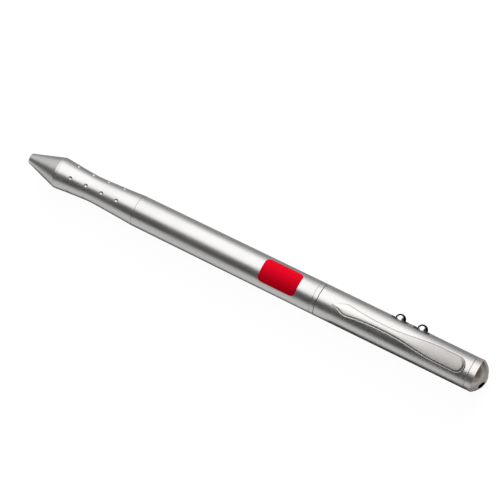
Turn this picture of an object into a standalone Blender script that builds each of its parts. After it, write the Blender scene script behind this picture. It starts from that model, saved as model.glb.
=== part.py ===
"""Twist action ballpoint with a laser pointer and a lamp in its other end, every piece a solid of its own.

The pen lies along X with the writing tip at low X, the clip up (+Z) and the two ball buttons at +Y.
Inside the axis frame x runs from the tip, and a place round the barrel is an angle from +Z towards +Y.
"""

import math

import bmesh
import bpy
from mathutils import Matrix, Vector

MM = 0.001

# Clearances
SEAM = 0.15 * MM          # hairline between two outer pieces in line
SEAT_GAP = 0.15 * MM      # piece resting on its seat
SLIP_GAP = 0.3 * MM       # piece inside the bore that carries it
OVERRUN = 1.0 * MM        # how far a cutter passes the wall that it cuts
MERGE_DISTANCE = 0.0005 * MM

# Facets
SHELL_SEGMENTS = 32
INNER_SEGMENTS = 24
SMALL_SEGMENTS = 16
LEAD_SEGMENTS = 8
SMOOTH_ANGLE = math.radians(32)
ACROSS = (0, 0, math.pi / 2)    # turns a piece made along X to lie along Y, where the buttons point

# Nose cone
NOSE_LENGTH = 10.9 * MM
NOSE_TIP_RADIUS = 1.6 * MM
NOSE_RIM = 0.25 * MM
NOSE_SHOULDER_RADIUS = 4.86 * MM
NOSE_SHOULDER_ROUND = 0.75 * MM
NOSE_ROUND_DROP = 0.09 * MM
NOSE_ROUND_LAND = 0.25 * MM
NOSE_BORE_RADIUS = 1.35 * MM
NOSE_CHAMBER_RADIUS = 2.1 * MM
NOSE_CHAMBER_START = 5.5 * MM
NOSE_THREAD_LENGTH = 5.5 * MM

# Waisted grip with rows of dimples
GRIP_LENGTH = 26.7 * MM
GRIP_BORE_RADIUS = 3.2 * MM
GRIP_WAIST_RADIUS = 4.04 * MM
GRIP_WAIST_PLACE = 11.4 * MM
GRIP_REAR_RADIUS = 4.84 * MM
GRIP_TAPER_SHARE = 1.3
GRIP_STEPS = 6
GRIP_STUB_LENGTH = 5.5 * MM
DIMPLE_RADIUS = 0.62 * MM
DIMPLE_DEPTH = 0.36 * MM
DIMPLE_START = 4.6 * MM
DIMPLE_PITCH = 5.28 * MM
DIMPLE_COUNT = 4
DIMPLE_ROWS = 6
DIMPLE_TURN = math.radians(-5.4)

# Lower barrel and its inlaid label
LOWER_LENGTH = 59.8 * MM
LOWER_FRONT_RADIUS = 4.83 * MM
LOWER_REAR_RADIUS = 4.98 * MM
LOWER_BORE_RADIUS = 4.3 * MM
LABEL_LENGTH = 12.1 * MM
LABEL_WIDTH = 8.1 * MM
LABEL_CORNER = 1.5 * MM
LABEL_THICKNESS = 0.2 * MM
LABEL_BED = 0.05 * MM
LABEL_TO_RING = 11.3 * MM
LABEL_TURN = math.radians(6.3)
LABEL_STEPS = 8
LABEL_CORNER_SHARES = (0, 0.08, 0.3, 0.6, 1)

# Trim ring between the halves
RING_WIDTH = 1.5 * MM
RING_RADIUS = 4.97 * MM
RING_EDGE = 0.12 * MM
RING_SPIGOT_LENGTH = 3.0 * MM
RING_SPIGOT_WALL = 0.5 * MM

# Upper barrel
BARREL_RADIUS = 5.0 * MM
UPPER_LENGTH = 48.2 * MM
UPPER_BORE_RADIUS = 4.45 * MM

# Lamp end cap
CAP_BAND = 2.05 * MM
CAP_DOME_HEIGHT = 2.95 * MM
CAP_PLUG_LENGTH = 2.8 * MM
CAP_DOME_STEPS = 7
OPTIC_OFFSET = 2.25 * MM
LASER_TURN = math.radians(-58)
LASER_APERTURE_RADIUS = 1.12 * MM
LASER_SEAT = 1.9 * MM

# Ballpoint refill
REFILL_LENGTH = 67.0 * MM
REFILL_RADIUS = 1.15 * MM
REFILL_WALL = 0.25 * MM
REFILL_TIP_LENGTH = 7.5 * MM
REFILL_SHANK_LENGTH = 2.6 * MM
REFILL_NECK_RADIUS = 0.55 * MM
REFILL_NECK_LENGTH = 1.6 * MM
REFILL_MOUTH_RADIUS = 0.46 * MM
REFILL_BALL_RADIUS = 0.35 * MM
REFILL_BALL_GAP = 0.04 * MM
REFILL_TIP_DEPTH = 1.0 * MM
REFILL_PLUG_LENGTH = 3.0 * MM

# Twist mechanism
WRITING_TRAVEL = 4.5 * MM
TWIST_ANGLE = math.radians(180)
HOUSING_WALL = 0.7 * MM
HOUSING_LIP = 1.4 * MM
CAM_WALL = 0.7 * MM
FOLLOWER_SOCKET = 6.0 * MM
FOLLOWER_PIN_BACK = 3.7 * MM
FOLLOWER_TAIL = 2.4 * MM
PIN_RADIUS = 0.5 * MM
PIN_TIP_GAP = 0.2 * MM
CAM_STEPS = 24

# Drive coupling
COUPLING_SPIGOT = 5.6 * MM
COUPLING_THREAD_LENGTH = 5.2 * MM
COUPLING_POCKET_RADIUS = 3.4 * MM
COUPLING_POCKET_DEPTH = 1.0 * MM
COUPLING_EDGE = 0.3 * MM

# Button cells and their contacts
CELL_RADIUS = 3.95 * MM
CELL_HEIGHT = 3.6 * MM
CELL_COUNT = 3
CELL_CAP_RADIUS = 3.3 * MM
CELL_CAP_RISE = 0.3 * MM
CELL_EDGE = 0.25 * MM
SLEEVE_GAP = 0.1 * MM
SLEEVE_WALL = 0.2 * MM
SPRING_LENGTH = 3.6 * MM
SPRING_WIRE_RADIUS = 0.2 * MM
SPRING_BASE_RADIUS = 2.9 * MM
SPRING_TOP_RADIUS = 1.5 * MM
SPRING_TURNS = 3.5
SPRING_POINTS_PER_TURN = 12
CONTACT_RADIUS = 3.2 * MM
CONTACT_THICKNESS = 0.3 * MM
CONTACT_DIMPLE_RADIUS = 1.2 * MM

# Board, its carrier and what stands on it
CARRIER_WALL = 0.7 * MM
CARRIER_BULKHEAD = 0.8 * MM
CARRIER_PLUG_GAP = 3.6 * MM
BOARD_THICKNESS = 0.8 * MM
BOARD_WIDTH = 7.6 * MM
SWITCH_SIDE = 3.2 * MM
SWITCH_HEIGHT = 1.5 * MM
SWITCH_WELL_RADIUS = 0.95 * MM
SWITCH_FLOOR = 0.2 * MM
PLUNGER_RADIUS = 0.7 * MM
PLUNGER_SUNK = 0.6 * MM
CHIP_LENGTH = 3.0 * MM
CHIP_WIDTH = 2.6 * MM
CHIP_HEIGHT = 1.1 * MM
RESISTOR_LENGTH = 1.6 * MM
RESISTOR_WIDTH = 0.8 * MM
RESISTOR_HEIGHT = 0.5 * MM
RESISTOR_PITCH = 1.7 * MM
RESISTOR_COUNT = 3

# Ball buttons
BUTTON_TRAVEL = 0.5 * MM
BUTTON_BALL_RADIUS = 1.65 * MM
BUTTON_SUNK = 0.15 * MM
BUTTON_NECK_RADIUS = 0.9 * MM
BUTTON_FLANGE_RADIUS = 2.2 * MM
BUTTON_FLANGE_THICKNESS = 0.4 * MM
BUTTON_SPACING = 7.04 * MM
BUTTON_PLACE = 23.3 * MM
BUTTON_HOLE_GAP = 0.2 * MM
BUTTON_BALL_STEPS = 9

# Laser module and lamp
MODULE_RADIUS = 1.5 * MM
MODULE_LENGTH = 8.0 * MM
MODULE_WALL = 0.3 * MM
MODULE_LIP = 0.35 * MM
MODULE_MOUTH_RADIUS = 0.9 * MM
LENS_THICKNESS = 1.3 * MM
LENS_EDGE = 0.6 * MM
LENS_BELLY_DROP = 0.08 * MM
LENS_PLACE = 1.9 * MM
DIODE_LENGTH = 1.6 * MM
DIODE_STEM = 0.6 * MM
DIODE_CAN_RADIUS = 0.95 * MM
LEAD_RADIUS = 0.2 * MM
LEAD_SPACING = 1.3 * MM
LEAD_OVERLAP = 1.4 * MM
LAMP_RADIUS = 1.5 * MM
LAMP_LENGTH = 5.6 * MM
LAMP_SHY = 0.15 * MM
LAMP_GAP = 0.15 * MM
LAMP_DOME_STEPS = 5

# Pocket clip
CLIP_LENGTH = 42.1 * MM
CLIP_HALF_WIDTH = 2.5 * MM
CLIP_THICKNESS = 0.9 * MM
CLIP_EDGE = 0.3 * MM
CLIP_LIFT = 0.4 * MM
CLIP_END_GAP = 1.4 * MM
CLIP_FOOT_LENGTH = 1.2 * MM
CLIP_FOOT_WIDTH = 2.6 * MM
CLIP_FOOT_BACK = 2.2 * MM
CLIP_HOOK_LENGTH = 2.9 * MM
CLIP_HOOK_THICKNESS = 0.6 * MM
CLIP_HOOK_GAP = 0.36 * MM
CLIP_SLOT_GAP = 0.3 * MM
CLIP_TIP_SHARE = 0.1
CLIP_TAIL_ROUND_SHARE = 0.055
CLIP_CURVE_STEPS = 3
CLIP_TAIL_STEPS = 6
# Along the clip from its free end, and half width, both as shares
CLIP_OUTLINE_SHARES = (
    (0.105, 0.72),
    (0.2, 0.49),
    (0.31, 0.365),
    (0.42, 0.35),
    (0.53, 0.42),
    (0.64, 0.67),
    (0.75, 0.91),
    (0.86, 1.0),
    (0.945, 1.0),
)

# Places along the pen, from the writing tip
GRIP_START = NOSE_LENGTH
LOWER_START = GRIP_START + GRIP_LENGTH
RING_START = LOWER_START + LOWER_LENGTH
UPPER_START = RING_START + RING_WIDTH
CAP_START = UPPER_START + UPPER_LENGTH
DOME_START = CAP_START + CAP_BAND
PEN_LENGTH = DOME_START + CAP_DOME_HEIGHT
REFILL_END = REFILL_TIP_DEPTH + REFILL_LENGTH
PIN_PLACE = REFILL_END + FOLLOWER_PIN_BACK
HOUSING_END = RING_START - RING_SPIGOT_LENGTH - SLIP_GAP
COUPLING_END = UPPER_START + COUPLING_THREAD_LENGTH
CELLS_START = COUPLING_END - COUPLING_POCKET_DEPTH + SPRING_LENGTH + SEAT_GAP
CELL_PITCH = CELL_HEIGHT + SEAT_GAP
CONTACT_START = CELLS_START + CELL_COUNT * CELL_PITCH
CARRIER_START = CONTACT_START + CONTACT_THICKNESS + SEAT_GAP
PLUG_START = CAP_START - CAP_PLUG_LENGTH
CARRIER_END = PLUG_START - CARRIER_PLUG_GAP
BUTTON_STATIONS = (UPPER_START + BUTTON_PLACE, UPPER_START + BUTTON_PLACE + BUTTON_SPACING)
CLIP_END = CAP_START - CLIP_END_GAP
CLIP_START = CLIP_END - CLIP_LENGTH
CLIP_PIVOT = CLIP_END - CLIP_FOOT_BACK

# Radii and heights that follow from their neighbours
HOUSING_RADIUS = LOWER_BORE_RADIUS - SLIP_GAP
HOUSING_BORE_RADIUS = HOUSING_RADIUS - HOUSING_WALL
CAM_RADIUS = HOUSING_BORE_RADIUS - SLIP_GAP
CAM_BORE_RADIUS = CAM_RADIUS - CAM_WALL
FOLLOWER_RADIUS = CAM_BORE_RADIUS - SLIP_GAP
PIN_REACH = HOUSING_RADIUS - PIN_TIP_GAP
SLOT_HALF_WIDTH = PIN_RADIUS + SLIP_GAP
CARRIER_RADIUS = UPPER_BORE_RADIUS - SLIP_GAP
CAP_PLUG_RADIUS = UPPER_BORE_RADIUS - SLIP_GAP
BOARD_TOP = BOARD_THICKNESS
SWITCH_BASE = BOARD_TOP + SEAT_GAP
SWITCH_TOP = SWITCH_BASE + SWITCH_HEIGHT
PLUNGER_TOP = SWITCH_TOP + BUTTON_TRAVEL
BUTTON_FOOT = PLUNGER_TOP + SEAT_GAP
CLIP_BASE = BARREL_RADIUS + CLIP_LIFT
FLAT_RADIUS = BARREL_RADIUS * math.cos(math.pi / SHELL_SEGMENTS)
BUTTON_CENTRE = BARREL_RADIUS - BUTTON_SUNK
BUTTON_TOP = BUTTON_CENTRE + BUTTON_BALL_RADIUS


def clear_scene():
    for item in list(bpy.data.objects):
        bpy.data.objects.remove(item, do_unlink=True)


def make_axis_frame():
    """An empty on the pen's axis at its writing tip, so that the box's bottom centre is the world origin."""
    frame = bpy.data.objects.new("pen_axis", None)
    bpy.context.collection.objects.link(frame)
    frame.location = (-PEN_LENGTH / 2, (FLAT_RADIUS - BUTTON_TOP) / 2, FLAT_RADIUS)
    return frame


def make_material(name, colour, roughness, metallic):
    finish = bpy.data.materials.new(name)
    finish.use_nodes = True
    shader = finish.node_tree.nodes["Principled BSDF"]
    shader.inputs["Base Color"].default_value = (*colour, 1.0)
    shader.inputs["Roughness"].default_value = roughness
    shader.inputs["Metallic"].default_value = metallic
    return finish


def add_piece(name, bm, finish, location=(0, 0, 0), rotation=(0, 0, 0)):
    bmesh.ops.remove_doubles(bm, verts=bm.verts, dist=MERGE_DISTANCE)
    bmesh.ops.recalc_face_normals(bm, faces=bm.faces)
    mesh = bpy.data.meshes.new(name)
    bm.to_mesh(mesh)
    bm.free()
    mesh.shade_smooth()
    mesh.set_sharp_from_angle(angle=SMOOTH_ANGLE)
    piece = bpy.data.objects.new(name, mesh)
    bpy.context.collection.objects.link(piece)
    piece.parent = bpy.data.objects["pen_axis"]
    piece.location = location
    piece.rotation_euler = rotation
    if finish:
        mesh.materials.append(make_material(name + "_finish", *finish))
    return piece


def apply_tool(piece, bm, operation="DIFFERENCE", location=(0, 0, 0), rotation=(0, 0, 0)):
    """Cuts a shape from a piece, or joins it on, and leaves the shape in the scene as a hidden tool."""
    tool = add_piece(piece.name + "_tool", bm, None, location, rotation)
    tool.hide_render = True
    tool.display_type = "WIRE"
    boolean = piece.modifiers.new(operation.lower(), "BOOLEAN")
    boolean.operation = operation
    boolean.object = tool
    boolean.solver = "EXACT"


def turn_profile(profile, segments, bm=None, centre=(0, 0)):
    """A profile of (x, radius) points turned round X, closed on itself unless it ends on the axis."""
    bm = bm or bmesh.new()
    half_step = math.pi / segments
    cent = Vector((0, *centre))
    points = [
        bm.verts.new(cent + Vector((x, radius * math.sin(half_step), radius * math.cos(half_step))))
        for x, radius in profile
    ]
    edges = [bm.edges.new(pair) for pair in zip(points, points[1:])]
    if profile[0][1] > 0:
        edges.append(bm.edges.new((points[-1], points[0])))
    bmesh.ops.spin(
        bm, geom=points + edges, cent=cent, axis=(1, 0, 0), angle=2 * math.pi, steps=segments, use_merge=True
    )
    return bm


def rod_profile(start, end, radius):
    """The profile of a plain round rod."""
    return [(start, 0), (start, radius), (end, radius), (end, 0)]


def add_box(bm, low, high):
    """A box between two corners."""
    low, high = Vector(low), Vector(high)
    size = Matrix.Diagonal(high - low).to_4x4()
    bmesh.ops.create_cube(bm, size=1, matrix=Matrix.Translation((low + high) / 2) @ size)
    return bm


def arc_points(centre_x, centre_radius, size, start, end, steps):
    """Points on an arc in the profile plane, its angles counted from +X towards larger radius."""
    points = []
    for step in range(steps + 1):
        angle = start + (end - start) * step / steps
        points.append((centre_x + size * math.cos(angle), centre_radius + size * math.sin(angle)))
    return points


def around(radius, angle):
    """The (y, z) place at a radius and an angle from +Z towards +Y."""
    return radius * math.sin(angle), radius * math.cos(angle)


def make_nose_cone():
    shoulder_x = NOSE_LENGTH - NOSE_SHOULDER_ROUND
    thread_radius = GRIP_BORE_RADIUS - SLIP_GAP
    thread_end = NOSE_LENGTH + NOSE_THREAD_LENGTH
    profile = [
        (0, NOSE_BORE_RADIUS),
        (0, NOSE_TIP_RADIUS - NOSE_RIM / 2),
        (NOSE_RIM, NOSE_TIP_RADIUS),
        (shoulder_x, NOSE_SHOULDER_RADIUS - NOSE_ROUND_DROP),
        (NOSE_LENGTH - NOSE_ROUND_LAND, NOSE_SHOULDER_RADIUS),
        (NOSE_LENGTH, NOSE_SHOULDER_RADIUS),
        (NOSE_LENGTH, thread_radius),
        (thread_end, thread_radius),
        (thread_end, NOSE_CHAMBER_RADIUS),
        (NOSE_CHAMBER_START, NOSE_CHAMBER_RADIUS),
        (NOSE_CHAMBER_START - (NOSE_CHAMBER_RADIUS - NOSE_BORE_RADIUS), NOSE_BORE_RADIUS),
    ]
    return add_piece("nose_cone", turn_profile(profile, SHELL_SEGMENTS), ((0.42, 0.41, 0.4), 0.3, 1.0))


def grip_radius(place):
    """The waisted outline: the radius at a distance behind the grip's front end."""
    if place < GRIP_WAIST_PLACE:
        share = (GRIP_WAIST_PLACE - place) / GRIP_WAIST_PLACE
        end_radius = NOSE_SHOULDER_RADIUS
    else:
        share = (place - GRIP_WAIST_PLACE) / (GRIP_LENGTH - GRIP_WAIST_PLACE)
        end_radius = GRIP_REAR_RADIUS
    return GRIP_WAIST_RADIUS + (end_radius - GRIP_WAIST_RADIUS) * share**GRIP_TAPER_SHARE


def make_grip_sleeve():
    front = [GRIP_WAIST_PLACE * step / GRIP_STEPS for step in range(GRIP_STEPS)]
    rear_length = GRIP_LENGTH - GRIP_WAIST_PLACE
    rear = [GRIP_WAIST_PLACE + rear_length * step / GRIP_STEPS for step in range(GRIP_STEPS + 1)]
    places = [max(place, SEAM) for place in front] + rear
    stub_radius = LOWER_BORE_RADIUS - SLIP_GAP
    stub_end = LOWER_START + GRIP_STUB_LENGTH
    profile = [(GRIP_START + place, grip_radius(place)) for place in places]
    profile += [
        (LOWER_START, stub_radius),
        (stub_end, stub_radius),
        (stub_end, GRIP_BORE_RADIUS),
        (GRIP_START + SEAM, GRIP_BORE_RADIUS),
    ]
    grip = add_piece("grip_sleeve", turn_profile(profile, SHELL_SEGMENTS), ((0.66, 0.66, 0.65), 0.25, 1.0))

    ball_radius = (DIMPLE_RADIUS**2 + DIMPLE_DEPTH**2) / (2 * DIMPLE_DEPTH)
    dimples = bmesh.new()
    for row in range(DIMPLE_ROWS):
        angle = DIMPLE_TURN + 2 * math.pi * row / DIMPLE_ROWS
        for count in range(DIMPLE_COUNT):
            place = DIMPLE_START + DIMPLE_PITCH * count
            height = grip_radius(place) + ball_radius - DIMPLE_DEPTH
            centre = Vector((GRIP_START + place, *around(height, angle)))
            bmesh.ops.create_icosphere(
                dimples, subdivisions=2, radius=ball_radius, matrix=Matrix.Translation(centre)
            )
    apply_tool(grip, dimples)
    return grip


def lower_radius(x):
    share = (x - LOWER_START) / LOWER_LENGTH
    return LOWER_FRONT_RADIUS + (LOWER_REAR_RADIUS - LOWER_FRONT_RADIUS) * share


def label_solid(margin, low, high):
    """The label's curved slab, grown by a margin, between two depths measured from the barrel's surface."""
    length, width = LABEL_LENGTH + 2 * margin, LABEL_WIDTH + 2 * margin
    corner = LABEL_CORNER + margin
    middle = RING_START - LABEL_TO_RING
    surface = lower_radius(middle)
    pitch = (width - 2 * corner) / LABEL_STEPS
    straight = [corner + pitch * step for step in range(1, LABEL_STEPS)]
    first = [corner * share for share in LABEL_CORNER_SHARES]
    columns = first + straight + [width - offset for offset in reversed(first)]
    bm = bmesh.new()
    previous = None
    for offset in columns:
        from_edge = min(offset, width - offset, corner)
        inset = corner - math.sqrt(max(0, corner**2 - (corner - from_edge) ** 2))
        angle = LABEL_TURN + (offset - width / 2) / surface
        ring = []
        for x, depth in ((-1, low), (1, low), (1, high), (-1, high)):
            place = middle + x * (length / 2 - inset)
            ring.append(bm.verts.new((place, *around(lower_radius(place) + depth, angle))))
        if previous:
            for side in range(4):
                after = (side + 1) % 4
                bm.faces.new((previous[side], previous[after], ring[after], ring[side]))
        else:
            bm.faces.new(ring)
        previous = ring
    bm.faces.new(previous)
    return bm


def make_lower_barrel():
    profile = [
        (LOWER_START + SEAM, LOWER_BORE_RADIUS),
        (LOWER_START + SEAM, lower_radius(LOWER_START + SEAM)),
        (RING_START, LOWER_REAR_RADIUS),
        (RING_START, LOWER_BORE_RADIUS),
    ]
    barrel = add_piece("lower_barrel", turn_profile(profile, SHELL_SEGMENTS), ((0.66, 0.66, 0.65), 0.25, 1.0))
    apply_tool(barrel, label_solid(SEAT_GAP, -LABEL_THICKNESS - LABEL_BED, OVERRUN))
    return barrel


def make_label_plate():
    return add_piece("label_plate", label_solid(0, -LABEL_THICKNESS, 0), ((0.75, 0.0, 0.03), 0.35, 0.0))


def make_center_ring():
    spigot_radius = LOWER_BORE_RADIUS - SLIP_GAP
    bore = spigot_radius - RING_SPIGOT_WALL
    start, end = RING_START + SEAM, UPPER_START - SEAM
    profile = [
        (RING_START - RING_SPIGOT_LENGTH, bore),
        (RING_START - RING_SPIGOT_LENGTH, spigot_radius),
        (start, spigot_radius),
        (start, RING_RADIUS - RING_EDGE),
        (start + RING_EDGE, RING_RADIUS),
        (end - RING_EDGE, RING_RADIUS),
        (end, RING_RADIUS - RING_EDGE),
        (end, bore),
    ]
    return add_piece("center_ring", turn_profile(profile, SHELL_SEGMENTS), ((0.6, 0.6, 0.6), 0.15, 1.0))


def make_refill():
    """A turned brass point with its ball, an ink tube and the plug that closes the tube."""
    start = REFILL_TIP_DEPTH
    ball_centre = start + REFILL_BALL_RADIUS
    tube_start = start + REFILL_TIP_LENGTH
    socket = REFILL_BALL_RADIUS + REFILL_BALL_GAP
    socket_floor = ball_centre + socket
    shank_radius = REFILL_RADIUS - REFILL_WALL - SEAT_GAP / 2
    tip_profile = [
        (socket_floor, 0),
        (socket_floor, socket),
        (ball_centre, socket),
        (ball_centre, REFILL_MOUTH_RADIUS),
        (ball_centre + REFILL_NECK_LENGTH, REFILL_NECK_RADIUS),
        (tube_start - REFILL_NECK_LENGTH, REFILL_RADIUS),
        (tube_start, REFILL_RADIUS),
        (tube_start, shank_radius),
        (tube_start + REFILL_SHANK_LENGTH, shank_radius),
        (tube_start + REFILL_SHANK_LENGTH, 0),
    ]
    add_piece("refill_point", turn_profile(tip_profile, SMALL_SEGMENTS), ((0.78, 0.57, 0.25), 0.3, 1.0))

    ball = bmesh.new()
    bmesh.ops.create_icosphere(ball, subdivisions=2, radius=REFILL_BALL_RADIUS)
    add_piece("refill_ball", ball, ((0.5, 0.5, 0.52), 0.15, 1.0), location=(ball_centre, 0, 0))

    tube_profile = [
        (tube_start + SEAT_GAP, REFILL_RADIUS),
        (REFILL_END, REFILL_RADIUS),
        (REFILL_END, REFILL_RADIUS - REFILL_WALL),
        (tube_start + SEAT_GAP, REFILL_RADIUS - REFILL_WALL),
    ]
    add_piece("refill_tube", turn_profile(tube_profile, SMALL_SEGMENTS), ((0.72, 0.72, 0.72), 0.3, 1.0))

    plug = rod_profile(REFILL_END - REFILL_PLUG_LENGTH, REFILL_END, shank_radius)
    add_piece("refill_plug", turn_profile(plug, SMALL_SEGMENTS), ((0.1, 0.1, 0.12), 0.5, 0.0))


def make_cam_housing():
    """The fixed sleeve of the twist mechanism: its two straight slots keep the pin from turning."""
    start = PIN_PLACE - WRITING_TRAVEL - SLOT_HALF_WIDTH - OVERRUN - HOUSING_LIP
    profile = [
        (start, FOLLOWER_RADIUS + SLIP_GAP),
        (start, HOUSING_RADIUS),
        (HOUSING_END, HOUSING_RADIUS),
        (HOUSING_END, HOUSING_BORE_RADIUS),
        (start + HOUSING_LIP, HOUSING_BORE_RADIUS),
        (start + HOUSING_LIP, FOLLOWER_RADIUS + SLIP_GAP),
    ]
    housing = add_piece("cam_housing", turn_profile(profile, INNER_SEGMENTS), ((0.75, 0.73, 0.68), 0.45, 0.0))
    slots = add_box(
        bmesh.new(),
        (PIN_PLACE - WRITING_TRAVEL - SLOT_HALF_WIDTH, -HOUSING_RADIUS - OVERRUN, -SLOT_HALF_WIDTH),
        (PIN_PLACE + SLOT_HALF_WIDTH, HOUSING_RADIUS + OVERRUN, SLOT_HALF_WIDTH),
    )
    apply_tool(housing, slots)
    return housing


def helical_slot(turn):
    """A cutter that winds round the cam sleeve: it moves back by the writing travel in one working twist."""
    bm = bmesh.new()
    inner, outer = CAM_BORE_RADIUS - OVERRUN / 2, CAM_RADIUS + OVERRUN / 2
    end_play = SLOT_HALF_WIDTH / CAM_RADIUS
    sweep = TWIST_ANGLE + 2 * end_play
    previous = None
    for step in range(CAM_STEPS + 1):
        twist = sweep * step / CAM_STEPS - end_play
        working = min(max(twist, 0), TWIST_ANGLE)
        middle = PIN_PLACE - WRITING_TRAVEL * working / TWIST_ANGLE
        ring = []
        for radius, side in ((inner, -1), (outer, -1), (outer, 1), (inner, 1)):
            place = middle + side * SLOT_HALF_WIDTH
            ring.append(bm.verts.new((place, *around(radius, turn + twist))))
        if previous:
            for corner in range(4):
                after = (corner + 1) % 4
                bm.faces.new((previous[corner], previous[after], ring[after], ring[corner]))
        else:
            bm.faces.new(ring)
        previous = ring
    bm.faces.new(previous)
    bmesh.ops.recalc_face_normals(bm, faces=bm.faces)
    return bm


def make_cam_sleeve():
    """The turning sleeve: two opposite helical slots push the pin, and the refill with it, along the pen."""
    start = PIN_PLACE - WRITING_TRAVEL - SLOT_HALF_WIDTH - OVERRUN + SLIP_GAP
    profile = [
        (start, CAM_RADIUS),
        (HOUSING_END, CAM_RADIUS),
        (HOUSING_END, CAM_BORE_RADIUS),
        (start, CAM_BORE_RADIUS),
    ]
    sleeve = add_piece("cam_sleeve", turn_profile(profile, INNER_SEGMENTS), ((0.78, 0.6, 0.3), 0.3, 1.0))
    for turn in (math.pi / 2, -math.pi / 2):
        apply_tool(sleeve, helical_slot(turn))
    return sleeve


def make_cam_follower():
    start = REFILL_END - FOLLOWER_SOCKET
    socket_radius = REFILL_RADIUS + SEAT_GAP
    end = PIN_PLACE + FOLLOWER_TAIL
    profile = [
        (REFILL_END + SEAT_GAP, 0),
        (REFILL_END + SEAT_GAP, socket_radius),
        (start, socket_radius),
        (start, FOLLOWER_RADIUS),
        (end, FOLLOWER_RADIUS),
        (end, 0),
    ]
    follower = add_piece("cam_follower", turn_profile(profile, INNER_SEGMENTS), ((0.8, 0.8, 0.78), 0.5, 0.0))
    hole_radius = PIN_RADIUS + SEAT_GAP
    hole_end = FOLLOWER_RADIUS + OVERRUN
    hole = turn_profile(rod_profile(-hole_end, hole_end, hole_radius), SMALL_SEGMENTS)
    apply_tool(follower, hole, location=(PIN_PLACE, 0, 0), rotation=ACROSS)

    pin = turn_profile(rod_profile(-PIN_REACH, PIN_REACH, PIN_RADIUS), SMALL_SEGMENTS)
    finish = ((0.6, 0.6, 0.6), 0.25, 1.0)
    add_piece("follower_pin", pin, finish, location=(PIN_PLACE, 0, 0), rotation=ACROSS)


def make_drive_coupling():
    """Joins the upper half to the cam sleeve and holds the battery spring in its rear pocket."""
    spigot_radius = CAM_BORE_RADIUS - SLIP_GAP
    journal_radius = LOWER_BORE_RADIUS - 2 * SLIP_GAP - RING_SPIGOT_WALL
    thread_radius = UPPER_BORE_RADIUS - SLIP_GAP
    journal_start = HOUSING_END + SEAT_GAP
    thread_start = UPPER_START + SEAM
    profile = [
        (journal_start - COUPLING_SPIGOT, 0),
        (journal_start - COUPLING_SPIGOT, spigot_radius),
        (journal_start, spigot_radius),
        (journal_start, journal_radius),
        (thread_start, journal_radius),
        (thread_start, thread_radius),
        (COUPLING_END - COUPLING_EDGE, thread_radius),
        (COUPLING_END, thread_radius - COUPLING_EDGE),
        (COUPLING_END, COUPLING_POCKET_RADIUS),
        (COUPLING_END - COUPLING_POCKET_DEPTH, COUPLING_POCKET_RADIUS),
        (COUPLING_END - COUPLING_POCKET_DEPTH, 0),
    ]
    return add_piece("drive_coupling", turn_profile(profile, INNER_SEGMENTS), ((0.78, 0.6, 0.3), 0.3, 1.0))


def spring_points():
    """Centre line of the conical battery spring, from its wide end in the coupling to the first cell."""
    start = COUPLING_END - COUPLING_POCKET_DEPTH + SEAT_GAP + SPRING_WIRE_RADIUS
    rise = SPRING_LENGTH - SEAT_GAP - 2 * SPRING_WIRE_RADIUS
    count = round(SPRING_TURNS * SPRING_POINTS_PER_TURN)
    points = []
    for step in range(count + 1):
        share = step / count
        radius = SPRING_BASE_RADIUS + (SPRING_TOP_RADIUS - SPRING_BASE_RADIUS) * share
        angle = 2 * math.pi * SPRING_TURNS * share
        points.append(Vector((start + rise * share, *around(radius, angle))))
    return points


def make_battery_spring():
    points = spring_points()
    half_turn = SPRING_POINTS_PER_TURN // 2
    gap = min(
        (first - second).length
        for place, first in enumerate(points)
        for second in points[place + half_turn :]
    )
    print("battery spring, least gap to itself in mm:", round((gap - 2 * SPRING_WIRE_RADIUS) / MM, 2))
    wire = bpy.data.curves.new("battery_spring", "CURVE")
    wire.dimensions = "3D"
    wire.bevel_depth = SPRING_WIRE_RADIUS
    wire.bevel_resolution = 1
    wire.use_fill_caps = True
    spline = wire.splines.new("POLY")
    spline.points.add(len(points) - 1)
    for target, point in zip(spline.points, points):
        target.co = (*point, 1)
    wire.materials.append(make_material("battery_spring_finish", (0.7, 0.7, 0.68), 0.25, 1.0))
    spring = bpy.data.objects.new("battery_spring", wire)
    bpy.context.collection.objects.link(spring)
    spring.parent = bpy.data.objects["pen_axis"]
    return spring


def make_cells():
    for count in range(CELL_COUNT):
        start = CELLS_START + CELL_PITCH * count
        end = start + CELL_HEIGHT
        profile = [
            (start, 0),
            (start, CELL_CAP_RADIUS),
            (start + CELL_CAP_RISE, CELL_CAP_RADIUS),
            (start + CELL_CAP_RISE, CELL_RADIUS - CELL_EDGE),
            (start + CELL_CAP_RISE + CELL_EDGE, CELL_RADIUS),
            (end - CELL_EDGE, CELL_RADIUS),
            (end, CELL_RADIUS - CELL_EDGE),
            (end, 0),
        ]
        add_piece(
            f"button_cell_{count + 1}", turn_profile(profile, INNER_SEGMENTS), ((0.7, 0.7, 0.7), 0.2, 1.0)
        )

    inner = CELL_RADIUS + SLEEVE_GAP
    cells_end = CONTACT_START - SEAT_GAP
    sleeve = [
        (CELLS_START, inner),
        (CELLS_START, inner + SLEEVE_WALL),
        (cells_end, inner + SLEEVE_WALL),
        (cells_end, inner),
    ]
    add_piece("cell_sleeve", turn_profile(sleeve, INNER_SEGMENTS), ((0.85, 0.82, 0.6), 0.4, 0.0))

    contact = [
        (CONTACT_START, 0),
        (CONTACT_START, CONTACT_RADIUS),
        (CONTACT_START + CONTACT_THICKNESS, CONTACT_RADIUS),
        (CONTACT_START + CONTACT_THICKNESS, CONTACT_DIMPLE_RADIUS),
        (CONTACT_START + CONTACT_THICKNESS / 2, 0),
    ]
    add_piece("cell_contact", turn_profile(contact, INNER_SEGMENTS), ((0.8, 0.62, 0.3), 0.25, 1.0))


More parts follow.
